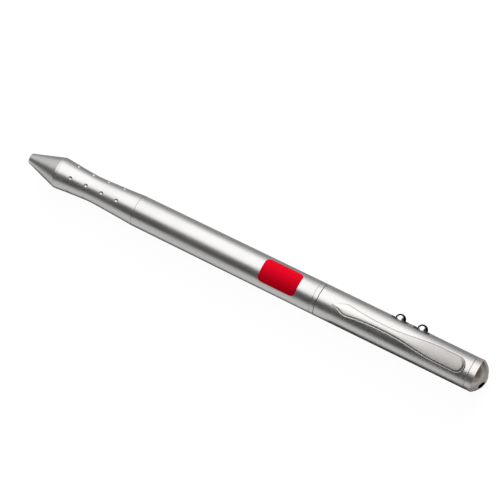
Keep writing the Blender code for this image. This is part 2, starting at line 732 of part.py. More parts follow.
def make_board_carrier():
    """A moulded cradle: a bulkhead behind the cells and a half tube whose edges carry the board."""
    inner = CARRIER_RADIUS - CARRIER_WALL
    bulkhead_end = CARRIER_START + CARRIER_BULKHEAD
    profile = [
        (CARRIER_START, 0),
        (CARRIER_START, CARRIER_RADIUS),
        (CARRIER_END, CARRIER_RADIUS),
        (CARRIER_END, inner),
        (bulkhead_end, inner),
        (bulkhead_end, 0),
    ]
    finish = ((0.08, 0.08, 0.09), 0.5, 0.0)
    carrier = add_piece("board_carrier", turn_profile(profile, INNER_SEGMENTS), finish)
    reach = CARRIER_RADIUS + OVERRUN
    opening = add_box(
        bmesh.new(), (bulkhead_end, -SEAT_GAP, -reach), (CARRIER_END + OVERRUN, reach, reach)
    )
    apply_tool(carrier, opening)
    return carrier


def make_circuit_board():
    """The board across the middle of the pen, with the driver chip under it and three resistors on it."""
    start = CARRIER_START + CARRIER_BULKHEAD + SEAT_GAP
    board = add_box(bmesh.new(), (start, 0, -BOARD_WIDTH / 2), (CARRIER_END, BOARD_TOP, BOARD_WIDTH / 2))
    add_piece("circuit_board", board, ((0.03, 0.2, 0.08), 0.45, 0.0))

    middle = (BUTTON_STATIONS[0] + BUTTON_STATIONS[1]) / 2
    chip = add_box(
        bmesh.new(),
        (middle - CHIP_LENGTH / 2, -SEAT_GAP - CHIP_HEIGHT, -CHIP_WIDTH / 2),
        (middle + CHIP_LENGTH / 2, -SEAT_GAP, CHIP_WIDTH / 2),
    )
    add_piece("driver_chip", chip, ((0.03, 0.03, 0.03), 0.5, 0.0))

    for count in range(RESISTOR_COUNT):
        across = (count - (RESISTOR_COUNT - 1) / 2) * RESISTOR_PITCH
        resistor = add_box(
            bmesh.new(),
            (middle - RESISTOR_LENGTH / 2, SWITCH_BASE, across - RESISTOR_WIDTH / 2),
            (middle + RESISTOR_LENGTH / 2, SWITCH_BASE + RESISTOR_HEIGHT, across + RESISTOR_WIDTH / 2),
        )
        add_piece(f"board_resistor_{count + 1}", resistor, ((0.12, 0.12, 0.13), 0.45, 0.0))


def make_switch(name, x):
    """A tactile switch body whose well takes the plunger."""
    body = add_box(
        bmesh.new(),
        (-SWITCH_SIDE / 2, SWITCH_BASE, -SWITCH_SIDE / 2),
        (SWITCH_SIDE / 2, SWITCH_TOP, SWITCH_SIDE / 2),
    )
    switch = add_piece(name, body, ((0.6, 0.6, 0.6), 0.35, 0.6), location=(x, 0, 0))
    floor = SWITCH_BASE + SWITCH_FLOOR
    top = SWITCH_TOP + OVERRUN
    well = turn_profile(rod_profile(floor, top, SWITCH_WELL_RADIUS), SMALL_SEGMENTS)
    apply_tool(switch, well, location=(x, 0, 0), rotation=ACROSS)
    return switch


def make_button(name, plunger_name, x):
    """A chromed ball on a neck, with a flange that keeps it in, and the plunger that it presses."""
    plunger_foot = SWITCH_TOP - PLUNGER_SUNK
    plunger = turn_profile(rod_profile(plunger_foot, PLUNGER_TOP, PLUNGER_RADIUS), SMALL_SEGMENTS)
    finish = ((0.02, 0.02, 0.02), 0.5, 0.0)
    add_piece(plunger_name, plunger, finish, location=(x, 0, 0), rotation=ACROSS)
    flange_top = BUTTON_FOOT + BUTTON_FLANGE_THICKNESS
    neck_angle = math.pi - math.asin(BUTTON_NECK_RADIUS / BUTTON_BALL_RADIUS)
    ball = arc_points(BUTTON_CENTRE, 0, BUTTON_BALL_RADIUS, neck_angle, 0, BUTTON_BALL_STEPS)
    profile = [
        (BUTTON_FOOT, 0),
        (BUTTON_FOOT, BUTTON_FLANGE_RADIUS),
        (flange_top, BUTTON_FLANGE_RADIUS),
        (flange_top, BUTTON_NECK_RADIUS),
    ]
    profile += ball[:-1]
    profile.append((BUTTON_TOP, 0))
    button = turn_profile(profile, INNER_SEGMENTS)
    finish = ((0.85, 0.85, 0.85), 0.05, 1.0)
    return add_piece(name, button, finish, location=(x, 0, 0), rotation=ACROSS)


def make_upper_barrel():
    profile = [
        (UPPER_START, UPPER_BORE_RADIUS),
        (UPPER_START, BARREL_RADIUS - RING_EDGE),
        (UPPER_START + RING_EDGE, BARREL_RADIUS),
        (CAP_START, BARREL_RADIUS),
        (CAP_START, UPPER_BORE_RADIUS),
    ]
    barrel = add_piece("upper_barrel", turn_profile(profile, SHELL_SEGMENTS), ((0.66, 0.66, 0.65), 0.25, 1.0))
    hole_radius = BUTTON_BALL_RADIUS + BUTTON_HOLE_GAP
    top = BARREL_RADIUS + OVERRUN
    holes = bmesh.new()
    for x in BUTTON_STATIONS:
        centre = Matrix.Translation((x, top / 2, 0)) @ Matrix.Rotation(math.pi / 2, 4, "X")
        bmesh.ops.create_cone(
            holes, cap_ends=True, segments=INNER_SEGMENTS, radius1=hole_radius, radius2=hole_radius,
            depth=top, matrix=centre,
        )
    apply_tool(barrel, holes)
    half_length = CLIP_FOOT_LENGTH / 2 + CLIP_SLOT_GAP
    half_width = CLIP_FOOT_WIDTH / 2 + CLIP_SLOT_GAP
    slot = add_box(
        bmesh.new(),
        (CLIP_PIVOT - half_length, -half_width, 0),
        (CLIP_PIVOT + half_length, half_width, top),
    )
    apply_tool(barrel, slot)
    return barrel


def dome_sphere_radius():
    return (BARREL_RADIUS**2 + CAP_DOME_HEIGHT**2) / (2 * CAP_DOME_HEIGHT)


def dome_surface(radius):
    """Where the lamp end's dome lies at a distance from the pen's axis."""
    sphere = dome_sphere_radius()
    return PEN_LENGTH - sphere + math.sqrt(sphere**2 - radius**2)


def optic_place(turn):
    return around(OPTIC_OFFSET, turn)


def make_end_cap():
    """A band and a low dome with a sharp shoulder, bored for the laser module and for the lamp."""
    start = CAP_START + SEAM
    sphere = dome_sphere_radius()
    shoulder_angle = math.asin(BARREL_RADIUS / sphere)
    dome = arc_points(PEN_LENGTH - sphere, 0, sphere, shoulder_angle, 0, CAP_DOME_STEPS)
    profile = [
        (PLUG_START, 0),
        (PLUG_START, CAP_PLUG_RADIUS),
        (start, CAP_PLUG_RADIUS),
        (start, BARREL_RADIUS),
    ]
    profile += dome[:-1]
    profile.append((PEN_LENGTH, 0))
    cap = add_piece("end_cap", turn_profile(profile, SHELL_SEGMENTS), ((0.6, 0.6, 0.6), 0.2, 1.0))

    module_seat = PEN_LENGTH - LASER_SEAT - SEAT_GAP
    back, front = PLUG_START - OVERRUN, PEN_LENGTH + OVERRUN
    module_bore = MODULE_RADIUS + SEAT_GAP
    laser_bore = [
        (back, 0),
        (back, module_bore),
        (module_seat, module_bore),
        (module_seat, LASER_APERTURE_RADIUS),
        (front, LASER_APERTURE_RADIUS),
        (front, 0),
    ]
    lamp_bore = rod_profile(back, front, LAMP_RADIUS + LAMP_GAP)
    bores = turn_profile(laser_bore, SMALL_SEGMENTS, centre=optic_place(LASER_TURN))
    turn_profile(lamp_bore, SMALL_SEGMENTS, bm=bores, centre=optic_place(LASER_TURN + math.pi))
    apply_tool(cap, bores)
    return cap


def make_laser_module():
    place = optic_place(LASER_TURN)
    front = PEN_LENGTH - LASER_SEAT - 2 * SEAT_GAP
    back = front - MODULE_LENGTH
    bore = MODULE_RADIUS - MODULE_WALL
    shell = [
        (back, bore),
        (back, MODULE_RADIUS),
        (front, MODULE_RADIUS),
        (front, MODULE_MOUTH_RADIUS),
        (front - MODULE_LIP, MODULE_MOUTH_RADIUS),
        (front - MODULE_LIP, bore),
    ]
    shell_mesh = turn_profile(shell, SMALL_SEGMENTS, centre=place)
    add_piece("laser_housing", shell_mesh, ((0.78, 0.6, 0.3), 0.3, 1.0))

    lens_radius = bore - SEAT_GAP
    lens_back = front - LENS_PLACE
    edge_start = lens_back + (LENS_THICKNESS - LENS_EDGE) / 2
    lens = [
        (lens_back, 0),
        (lens_back + LENS_BELLY_DROP, lens_radius / 2),
        (edge_start, lens_radius),
        (edge_start + LENS_EDGE, lens_radius),
        (lens_back + LENS_THICKNESS - LENS_BELLY_DROP, lens_radius / 2),
        (lens_back + LENS_THICKNESS, 0),
    ]
    add_piece("laser_lens", turn_profile(lens, SMALL_SEGMENTS, centre=place), ((0.5, 0.1, 0.12), 0.05, 0.0))

    diode = [
        (back + SEAT_GAP, 0),
        (back + SEAT_GAP, lens_radius),
        (back + SEAT_GAP + DIODE_STEM, lens_radius),
        (back + SEAT_GAP + DIODE_STEM, DIODE_CAN_RADIUS),
        (back + SEAT_GAP + DIODE_LENGTH, DIODE_CAN_RADIUS),
        (back + SEAT_GAP + DIODE_LENGTH, 0),
    ]
    add_piece("laser_diode", turn_profile(diode, SMALL_SEGMENTS, centre=place), ((0.8, 0.7, 0.4), 0.25, 1.0))
    make_leads("laser_lead", place[1], -SEAT_GAP - LEAD_RADIUS, back)


def make_leads(name, z, y, end):
    """Two wires from the board's end to a part in front of it."""
    start = CARRIER_END - LEAD_OVERLAP
    for count, side in enumerate((-1, 1)):
        place = (y, z + side * LEAD_SPACING / 2)
        lead = turn_profile(rod_profile(start, end - SEAT_GAP, LEAD_RADIUS), LEAD_SEGMENTS, centre=place)
        add_piece(f"{name}_{count + 1}", lead, ((0.75, 0.75, 0.75), 0.3, 1.0))


def make_lamp():
    place = optic_place(LASER_TURN + math.pi)
    front = dome_surface(OPTIC_OFFSET) - LAMP_SHY
    back = front - LAMP_LENGTH
    dome = arc_points(front - LAMP_RADIUS, 0, LAMP_RADIUS, math.pi / 2, 0, LAMP_DOME_STEPS)
    profile = [(back, 0), (back, LAMP_RADIUS)] + dome[:-1] + [(front, 0)]
    add_piece("lamp_led", turn_profile(profile, SMALL_SEGMENTS, centre=place), ((0.9, 0.92, 0.95), 0.1, 0.0))
    make_leads("lamp_lead", place[1], BOARD_TOP + SEAT_GAP + LEAD_RADIUS, back)


def smooth_line(points, steps):
    """A smooth line through points: cubic pieces whose slope at each point follows its two neighbours."""
    line = []
    for place in range(len(points) - 1):
        before = Vector(points[max(place - 1, 0)])
        start, end = Vector(points[place]), Vector(points[place + 1])
        after = Vector(points[min(place + 2, len(points) - 1)])
        for step in range(steps):
            t = step / steps
            line.append(
                0.5 * (2 * start + (end - before) * t + (2 * before - 5 * start + 4 * end - after) * t**2
                       + (3 * start - before - 3 * end + after) * t**3)
            )
    line.append(Vector(points[-1]))
    return line


def clip_half_outline():
    """One side of the clip from its pointed free end to its round tail, as (along, half width)."""
    curve = [(along, width) for along, width in smooth_line(CLIP_OUTLINE_SHARES, CLIP_CURVE_STEPS)]
    shares = [(0.0, CLIP_TIP_SHARE)] + curve
    tail_start = 1 - CLIP_TAIL_ROUND_SHARE
    for step in range(1, CLIP_TAIL_STEPS):
        angle = math.pi / 2 * step / CLIP_TAIL_STEPS
        shares.append((tail_start + CLIP_TAIL_ROUND_SHARE * math.sin(angle), math.cos(angle)))
    return [(along * CLIP_LENGTH, width * CLIP_HALF_WIDTH) for along, width in shares]


def make_clip():
    """A flat spear of sheet metal with softened edges: its foot goes through the wall and hooks under it."""
    half = clip_half_outline()
    outline = half + [(CLIP_LENGTH, 0)]
    outline += [(along, -width) for along, width in reversed(half)]
    bm = bmesh.new()
    shift = CLIP_START - CLIP_PIVOT
    base = CLIP_BASE - BARREL_RADIUS
    bottom = bm.faces.new([bm.verts.new((along + shift, across, base)) for along, across in outline])
    raised = bmesh.ops.extrude_face_region(bm, geom=[bottom])["geom"]
    top_verts = [item for item in raised if isinstance(item, bmesh.types.BMVert)]
    bmesh.ops.translate(bm, verts=top_verts, vec=(0, 0, CLIP_THICKNESS))
    top = set(top_verts)
    rim = [edge for edge in bm.edges if edge.verts[0] in top and edge.verts[1] in top]
    bmesh.ops.bevel(bm, geom=rim, offset=CLIP_EDGE, segments=2, profile=0.5, affect="EDGES")
    pivot = (CLIP_PIVOT, 0, BARREL_RADIUS)
    clip = add_piece("pocket_clip", bm, ((0.62, 0.61, 0.6), 0.4, 1.0), location=pivot)

    wall_underside = math.sqrt(UPPER_BORE_RADIUS**2 - (CLIP_FOOT_WIDTH / 2) ** 2)
    hook_top = wall_underside - CLIP_HOOK_GAP - BARREL_RADIUS
    hook_base = hook_top - CLIP_HOOK_THICKNESS
    half_length, half_width = CLIP_FOOT_LENGTH / 2, CLIP_FOOT_WIDTH / 2
    foot_side = [
        (half_length, base + CLIP_THICKNESS / 2),
        (-half_length, base + CLIP_THICKNESS / 2),
        (-half_length, hook_top),
        (half_length - CLIP_HOOK_LENGTH, hook_top),
        (half_length - CLIP_HOOK_LENGTH, hook_base),
        (half_length, hook_base),
    ]
    foot = bmesh.new()
    side = foot.faces.new([foot.verts.new((x, -half_width, z)) for x, z in foot_side])
    moved = bmesh.ops.extrude_face_region(foot, geom=[side])["geom"]
    far = [item for item in moved if isinstance(item, bmesh.types.BMVert)]
    bmesh.ops.translate(foot, verts=far, vec=(0, CLIP_FOOT_WIDTH, 0))
    apply_tool(clip, foot, operation="UNION", location=pivot)
    return clip


def main():
    clear_scene()
    make_axis_frame()
    make_nose_cone()
    make_grip_sleeve()
    make_lower_barrel()
    make_label_plate()
    make_center_ring()
    make_refill()
    make_cam_housing()
    make_cam_sleeve()
    make_cam_follower()
    make_drive_coupling()
    make_battery_spring()
    make_cells()
    make_board_carrier()
    make_circuit_board()
    for name, x in zip(("laser", "lamp"), BUTTON_STATIONS):
        make_switch(name + "_switch", x)
        make_button(name + "_button", name + "_plunger", x)
    make_upper_barrel()
    make_end_cap()
    make_laser_module()
    make_lamp()
    make_clip()


main()
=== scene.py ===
import math
from types import SimpleNamespace

import bmesh
import bpy
from mathutils import Matrix, Vector


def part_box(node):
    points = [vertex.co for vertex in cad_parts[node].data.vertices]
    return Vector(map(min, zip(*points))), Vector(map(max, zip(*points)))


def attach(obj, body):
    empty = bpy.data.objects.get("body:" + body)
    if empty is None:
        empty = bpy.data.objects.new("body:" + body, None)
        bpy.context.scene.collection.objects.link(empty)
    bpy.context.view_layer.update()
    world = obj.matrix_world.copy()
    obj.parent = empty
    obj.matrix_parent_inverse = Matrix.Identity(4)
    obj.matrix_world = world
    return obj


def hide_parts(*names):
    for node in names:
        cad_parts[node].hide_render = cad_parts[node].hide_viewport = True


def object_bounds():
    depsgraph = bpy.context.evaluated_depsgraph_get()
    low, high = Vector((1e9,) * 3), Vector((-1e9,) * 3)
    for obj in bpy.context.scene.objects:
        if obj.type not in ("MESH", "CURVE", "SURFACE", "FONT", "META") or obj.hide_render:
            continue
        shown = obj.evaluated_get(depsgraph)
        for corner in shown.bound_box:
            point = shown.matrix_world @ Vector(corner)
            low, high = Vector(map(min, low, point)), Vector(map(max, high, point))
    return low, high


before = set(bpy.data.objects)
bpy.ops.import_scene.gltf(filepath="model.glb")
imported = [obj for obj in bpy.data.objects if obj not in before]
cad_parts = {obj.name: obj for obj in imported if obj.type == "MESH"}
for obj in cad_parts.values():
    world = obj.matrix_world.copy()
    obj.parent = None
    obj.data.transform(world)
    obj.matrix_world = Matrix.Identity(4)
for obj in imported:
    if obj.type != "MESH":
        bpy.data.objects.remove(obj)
cadLow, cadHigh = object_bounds()
mm = 0.001
# all sizes are in millimetres where nothing else is said
ballRadius = 1.65   # of the button balls
solidSeam = 0.15    # what the solids leave open at a joint
hairSeam = 0.05     # what the eye sees of a tight joint
openSeam = 0.12     # and of a joint that turns or unscrews
innerEdge = 0.1     # round of an edge out of sight
clearance = 1       # how far a cutter stands out of what it cuts
largeFacets = 160   # round a barrel
smallFacets = 64    # round a bore, a button or the refill


# The pen's own frame: x runs from the writing tip in millimetres, the clip is up, the buttons point to +Y.
def spanOf(node):
    return [(corner.x - pen.tip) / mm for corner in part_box(node)]


pen = SimpleNamespace(tip=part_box("nose_cone")[0].x)
barrelLow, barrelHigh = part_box("upper_barrel")
barrelMiddle = (barrelLow + barrelHigh) / 2
pen.axisY, pen.axisZ = barrelMiddle.y, barrelMiddle.z
pen.radius = (barrelHigh.z - barrelLow.z) / 2 / mm
pen.buttons = [(low.x + high.x) / 2 for low, high in (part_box("laser_button"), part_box("lamp_button"))]
pen.buttonFoot, pen.buttonTop = ((corner.y - pen.axisY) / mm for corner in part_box("laser_button"))
pen.buttonMiddle = pen.buttonTop - ballRadius
pen.noseEnd = spanOf("nose_cone")[1]
pen.gripStart, pen.gripEnd = spanOf("grip_sleeve")
pen.lowerStart, pen.ringStart = spanOf("lower_barrel")
pen.gripStart -= solidSeam
pen.lowerStart -= solidSeam
pen.upperStart, pen.capStart = spanOf("upper_barrel")
pen.plugStart, pen.tail = spanOf("end_cap")
pen.clipStart, pen.clipEnd = spanOf("pocket_clip")
penMatrix = Matrix.Translation((pen.tip, pen.axisY, pen.axisZ)) @ Matrix.Scale(mm, 4)


# Small helpers
def linear(hexColour, share=1):
    # an sRGB colour made linear and dimmed to a share
    channels = [int(hexColour[place:place + 2], 16) / 255 for place in (1, 3, 5)]
    return *(share * (c / 12.92 if c <= 0.04045 else ((c + 0.055) / 1.055) ** 2.4) for c in channels), 1.0


def perMetre(size):
    # a texture's scale for a feature of this size in millimetres
    return 1 / (size * mm)


def setSockets(tree, node, sockets):
    # a value may be a number, a colour, another node's socket, or a node for its first output
    for key, value in sockets.items():
        if isinstance(value, bpy.types.Node):
            value = next(output for output in value.outputs if output.enabled)
        if isinstance(value, bpy.types.NodeSocket):
            tree.links.new(value, node.inputs[key])
        else:
            node.inputs[key].default_value = value


def addNode(tree, kind, sockets=None, **settings):
    node = tree.nodes.new(kind)
    for key, value in settings.items():
        setattr(node, key, value)
    setSockets(tree, node, sockets or {})
    return node


def around(radius, angle):
    # (y, z) at a radius and an angle in degrees from straight up towards the buttons' side
    return radius * math.sin(math.radians(angle)), radius * math.cos(math.radians(angle))


def roundedProfile(corners, steps=5, sideShare=0.48):
    # (x, radius) corners, each with an optional round as a third number, become a line with arcs, and no arc
    # takes more than its share of a side
    line = []
    for place, corner in enumerate(corners):
        here = Vector(corner[:2])
        size = corner[2] if len(corner) > 2 else 0
        if not size:
            line.append(here)
            continue
        before = Vector(corners[place - 1][:2]) - here
        after = Vector(corners[(place + 1) % len(corners)][:2]) - here
        half = before.angle(after) / 2
        reach = min(size / math.tan(half), sideShare * before.length, sideShare * after.length)
        size = reach * math.tan(half)
        middle = here + (before.normalized() + after.normalized()).normalized() * size / math.sin(half)
        first = here + before.normalized() * reach - middle
        last = here + after.normalized() * reach - middle
        sweep = first.angle(last)
        for step in range(steps + 1):
            share = step / steps
            arm = (first * math.sin((1 - share) * sweep) + last * math.sin(share * sweep)) / math.sin(sweep)
            line.append(middle + arm)
    return line


def meshFrom(bm, name, matrix=penMatrix):
    mesh = bpy.data.meshes.new(name)
    bm.to_mesh(mesh)
    bm.free()
    mesh.transform(matrix)
    return mesh


def turnedMesh(name, profile, segments=largeFacets, matrix=penMatrix, centre=(0, 0)):
    # a profile turned round x: closed on itself, or ended on the axis at both ends
    bm = bmesh.new()
    rings = []
    for x, radius in profile:
        if radius < 1e-6:
            rings.append([bm.verts.new((x, *centre))])
            continue
        ring = []
        for step in range(segments):
            y, z = around(radius, 360 * step / segments)
            ring.append(bm.verts.new((x, centre[0] + y, centre[1] + z)))
        rings.append(ring)
    pairs = list(zip(rings, rings[1:]))
    if len(rings[0]) > 1:
        pairs.append((rings[-1], rings[0]))
    for first, second in pairs:
        for step in range(segments):
            after = (step + 1) % segments
            corners = [first[step % len(first)], first[after % len(first)],
                       second[after % len(second)], second[step % len(second)]]
            corners = list(dict.fromkeys(corners))
            if len(corners) > 2:
                bm.faces.new(corners)
    bmesh.ops.recalc_face_normals(bm, faces=bm.faces)
    return meshFrom(bm, name, matrix)


def newObject(name, data):
    piece = bpy.data.objects.new(name, data)
    bpy.context.scene.collection.objects.link(piece)
    return piece


def turnedPiece(name, corners, segments=largeFacets, matrix=penMatrix):
    return newObject(name, turnedMesh(name, roundedProfile(corners), segments, matrix))


def tubeCorners(start, end, front, rear, bore, edge, boreEdge=innerEdge):
    return [(start, front, edge), (end, rear, edge), (end, bore, boreEdge), (start, bore, boreEdge)]


def ballLine(middle, radius, widest, steps):
    # an arc from its widest angle in degrees to the axis, ahead of a middle on the axis
    arc = [around(radius, widest * (1 - step / steps)) for step in range(steps + 1)]
    return [(middle + along, across) for across, along in arc]


def bakeModifiers(piece):
    # the evaluated mesh takes the place of the mesh and its modifiers
    bpy.context.view_layer.update()
    evaluated = piece.evaluated_get(bpy.context.evaluated_depsgraph_get())
    mesh = bpy.data.meshes.new_from_object(evaluated)
    piece.modifiers.clear()
    piece.data = mesh
    return piece


def runTree(piece, tree, values):
    modifier = piece.modifiers.new(tree.name, "NODES")
    modifier.node_group = tree
    for label, value in values.items():
        modifier[tree.interface.items_tree[label].identifier] = value
    return bakeModifiers(piece)


def combine(piece, mesh, operation="DIFFERENCE"):
    tool = newObject(piece.name + ".tool", mesh)
    boolean = piece.modifiers.new("cut", "BOOLEAN")
    boolean.operation = operation
    boolean.solver = "EXACT"
    boolean.object = tool
    bakeModifiers(piece)
    bpy.data.objects.remove(tool)
    return piece


def finishPiece(piece, finish, body, nodes, sharpAngle=30):
    mesh = piece.data
    mesh.materials.clear()
    mesh.materials.append(finishes[finish])
    mesh.shade_smooth()
    mesh.set_sharp_from_angle(angle=math.radians(sharpAngle))
    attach(piece, body)
    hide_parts(*nodes)
    return piece


# Camera: fitted to the photograph
cameraSetup = {
    "lens": 160.97,         # mm, on Blender's own 36 mm sensor
    "distance": 650,        # mm from the aim
    "aimAlong": 73.35,      # mm from the writing tip
    "aimAcross": 3.92,      # mm towards the buttons
    "tilt": 14.96,          # degrees from straight above towards the lamp end
    "turn": 4.0,            # degrees round the pen, away from the buttons
    "roll": 25.91,
}


def makeCamera(setup):
    tilt, turn, roll = (math.radians(setup[key]) for key in ("tilt", "turn", "roll"))
    along = Vector((1, 0, 0))
    above = Vector((0, -math.sin(turn), math.cos(turn)))
    across = Vector((0, math.cos(turn), math.sin(turn)))
    aim = penMatrix @ (along * setup["aimAlong"] + across * setup["aimAcross"])
    towards = along * math.sin(tilt) + above * math.cos(tilt)
    level = (along - towards * along.dot(towards)).normalized()
    upright = towards.cross(level)
    right = level * math.cos(roll) + upright * math.sin(roll)
    up = upright * math.cos(roll) - level * math.sin(roll)
    camera = newObject("camera", bpy.data.cameras.new("camera"))
    turned = Matrix((right, up, towards)).transposed().to_4x4()
    camera.matrix_world = Matrix.Translation(aim + towards * setup["distance"] * mm) @ turned
    camera.data.lens = setup["lens"]
    bpy.context.scene.camera = camera


makeCamera(cameraSetup)
print("camera made")


# Studio: a white room, a long diffuser above and black flags that draw the dark lines on the metal
studio = {
    "world": 1.0,               # what metal and the camera see
    "ambient": 0.06,            # what lights matt surfaces
    "floorColour": "#F2F2F2",
    "floorGlow": 0.95,
    "floorShadow": 0.13,
    "floorSize": 6.0,           # m
    "floorDrop": 0.02,          # mm below the pen
    "cardLift": 0.01,           # mm above the pen's foot
}

# Every card is given by its two edges round the pen, in degrees from straight up towards the buttons,
# and by its two ends along the pen, in degrees from straight up towards the lamp end.
diffuser = {"round": (-16, 74), "ends": (-42, 12), "distance": 1500, "radiance": 1.13}
sideFill = {"round": (50, 90), "ends": (-30, 12), "distance": 1500, "radiance": 3.1}
hangingFlags = {
    "frontFlag": {"round": (-66, -10), "ends": (-75, 40), "distance": 1150, "colour": "#6C6C6C"},
    "frontTailFlag": {"round": (-75, -66), "ends": (-15, 40), "distance": 1150, "colour": "#6C6C6C"},
    "tailFlag": {"round": (-32, 105), "ends": (34, 77), "distance": 1150, "colour": "#5A514D"},
    "limbFlag": {"round": (-32, 70), "ends": (75, 98), "distance": 1150, "colour": "#BDB7B3"},
}
# These lie on the floor, from x, y to x, y in the pen's own frame.
floorFlags = {
    "farCard": {"from": (-40, 7), "to": (147, 60), "colour": "#D8D8D8"},
    # painted shadow: these grey strips beside the pen stand in for its contact shadow on the floor, as the metal
    # reflects it; the darker one lies along the clip
    "contactShadowCard": {"from": (-5, -11), "to": (157, -4), "colour": "#505050"},
    "clipShadowCard": {"from": (100, -18), "to": (157, -11), "colour": "#484848"},
    "farTailCard": {"from": (147, 4), "to": (190, 13), "colour": "#F4F0EC", "lift": 0.02},
    "domeCard": {"from": (150, 13), "to": (190, 120), "colour": "#4E4744", "lift": 0.02},
    "tailCard": {"from": (147, -200), "to": (190, 4), "colour": "#F4F0EC", "lift": 0.02},
}
# low black walls round the buttons give the polished balls their dark rims
buttonWall = {"radius": 2.6, "height": 1.4, "steps": 12, "colour": "#0A0A0A"}


def cardPlace(card):
    turn = math.radians(sum(card["round"]) / 2)
    tilt = math.radians(sum(card["ends"]) / 2)
    away = Vector((math.sin(tilt), math.cos(tilt) * math.sin(turn), math.cos(tilt) * math.cos(turn)))
    along = (Vector((1, 0, 0)) - away * away.x).normalized()
    across = away.cross(along)
    middle = penMatrix @ Vector((cameraSetup["aimAlong"], 0, 0)) + away * card["distance"] * mm
    place = Matrix.Translation(middle) @ Matrix((along, across, away)).transposed().to_4x4()
    spans = [math.radians(card[key][1] - card[key][0]) / 2 for key in ("ends", "round")]
    return place, *(2 * card["distance"] * mm * math.tan(span) for span in spans)


def makeLamp(name, card):
    place, length, width = cardPlace(card)
    lamp = bpy.data.lights.new(name, "AREA")
    lamp.shape = "RECTANGLE"
    lamp.size, lamp.size_y = length, width
    lamp.energy = card["radiance"] * math.pi * length * width
    light = newObject(name, lamp)
    light.matrix_world = place
    return light


def emptyTree(owner):
    owner.use_nodes = True
    owner.node_tree.nodes.clear()
    return owner.node_tree


def plainMaterial(name, hexColour):
    material = bpy.data.materials.new(name)
    tree = emptyTree(material)
    shader = addNode(tree, "ShaderNodeBsdfDiffuse", {"Color": linear(hexColour)})
    addNode(tree, "ShaderNodeOutputMaterial", {"Surface": shader})
    return material


cardCorners = ((-1, -1), (1, -1), (1, 1), (-1, 1))


def flatCard(name, corners, material, faces=((0, 1, 2, 3),)):
    mesh = bpy.data.meshes.new(name)
    mesh.from_pydata(corners, [], faces)
    mesh.materials.append(material)
    card = newObject(name, mesh)
    return card


def makeFlag(name, corners, colour, faces=((0, 1, 2, 3),)):
    # a card that only metal and glass see
    flag = flatCard(name, corners, plainMaterial(name, colour), faces)
    flag.visible_camera = False
    flag.visible_shadow = False
    flag.visible_diffuse = False


def hangFlag(name, card):
    place, length, width = cardPlace(card)
    makeFlag(name, [place @ Vector((x * length / 2, y * width / 2, 0)) for x, y in cardCorners], card["colour"])


def layFlag(name, card):
    level = (cadLow.z - pen.axisZ) / mm + card.get("lift", studio["cardLift"])
    ends = {-1: card["from"], 1: card["to"]}
    makeFlag(name, [penMatrix @ Vector((ends[x][0], ends[y][1], level)) for x, y in cardCorners], card["colour"])


def standWall(name, x, wall):
    level = (cadLow.z - pen.axisZ) / mm
    corners = []
    for step in range(wall["steps"] + 1):
        along, across = around(wall["radius"], 180 * step / wall["steps"] - 90)
        for height in (level, wall["height"]):
            corners.append(penMatrix @ Vector(((x - pen.tip) / mm + along, pen.buttonMiddle + across, height)))
    faces = [(place, place + 1, place + 3, place + 2) for place in range(0, 2 * wall["steps"], 2)]
    makeFlag(name, corners, wall["colour"], faces)


def seenRays(tree):
    # 1 for what the camera, metal or glass sees, 0 for light on matt surfaces
    path = addNode(tree, "ShaderNodeLightPath")
    seen = path.outputs["Is Camera Ray"]
    for kind in ("Is Glossy Ray", "Is Transmission Ray"):
        seen = addNode(tree, "ShaderNodeMath", {0: seen, 1: path.outputs[kind]}, operation="MAXIMUM")
    return seen


def makeWorld():
    world = bpy.data.worlds.new("studio")
    bpy.context.scene.world = world
    tree = emptyTree(world)
    strength = addNode(tree, "ShaderNodeMapRange", {
        "Value": seenRays(tree), "To Min": studio["ambient"], "To Max": studio["world"]})
    back = addNode(tree, "ShaderNodeBackground", {"Color": linear("#FFFFFF"), "Strength": strength})
    addNode(tree, "ShaderNodeOutputWorld", {"Surface": back})


def makeFloor():
    # pale paper: the glow lifts it to white for the camera, and the pen's shadow stays on it
    material = bpy.data.materials.new("white paper floor")
    tree = emptyTree(material)
    colour = studio["floorColour"]
    paper = addNode(tree, "ShaderNodeBsdfDiffuse", {"Color": linear(colour)})
    dimmed = addNode(tree, "ShaderNodeBsdfDiffuse", {"Color": linear(colour, studio["floorShadow"])})
    glow = addNode(tree, "ShaderNodeEmission", {"Color": linear("#FFFFFF"), "Strength": studio["floorGlow"]})
    white = addNode(tree, "ShaderNodeAddShader", {0: dimmed, 1: glow})
    mixed = addNode(tree, "ShaderNodeMixShader", {0: seenRays(tree), 1: paper, 2: white})
    addNode(tree, "ShaderNodeOutputMaterial", {"Surface": mixed})
    half = studio["floorSize"] / 2
    level = cadLow.z - studio["floorDrop"] * mm
    flatCard("floor", [(x * half, y * half, level) for x, y in cardCorners], material)


makeWorld()
makeFloor()
makeLamp("diffuser", diffuser)
makeLamp("sideFill", sideFill).visible_glossy = False    # lights paint and plastic, unseen in the metal
for name, card in hangingFlags.items():
    hangFlag(name, card)
for name, card in floorFlags.items():
    layFlag(name, card)
for x in pen.buttons:
    standWall("buttonWall", x, buttonWall)
bpy.context.scene.view_settings.view_transform = "Standard"
print("studio made")


# Finishes
def newMaterial(name):
    material = bpy.data.materials.new(name)
    material.use_nodes = True
    tree = material.node_tree
    return material, tree, tree.nodes["Principled BSDF"]


def objectPlace(tree):
    return addNode(tree, "ShaderNodeTexCoord").outputs["Object"]


handlingSpots = 9           # mm
noiseSpan = (0.3, 0.7)      # where most of a noise lies


def addGrain(tree, shader, noise, colours, depth, **blend):
    # one noise draws the colour between its two ends and the relief
    tint = addNode(tree, "ShaderNodeMix", {0: noise, 6: colours[0], 7: colours[1]}, data_type="RGBA", **blend)
    bump = addNode(tree, "ShaderNodeBump", {"Height": noise, "Distance": depth * mm, "Strength": 1})
    setSockets(tree, shader, {"Base Color": tint, "Normal": bump})


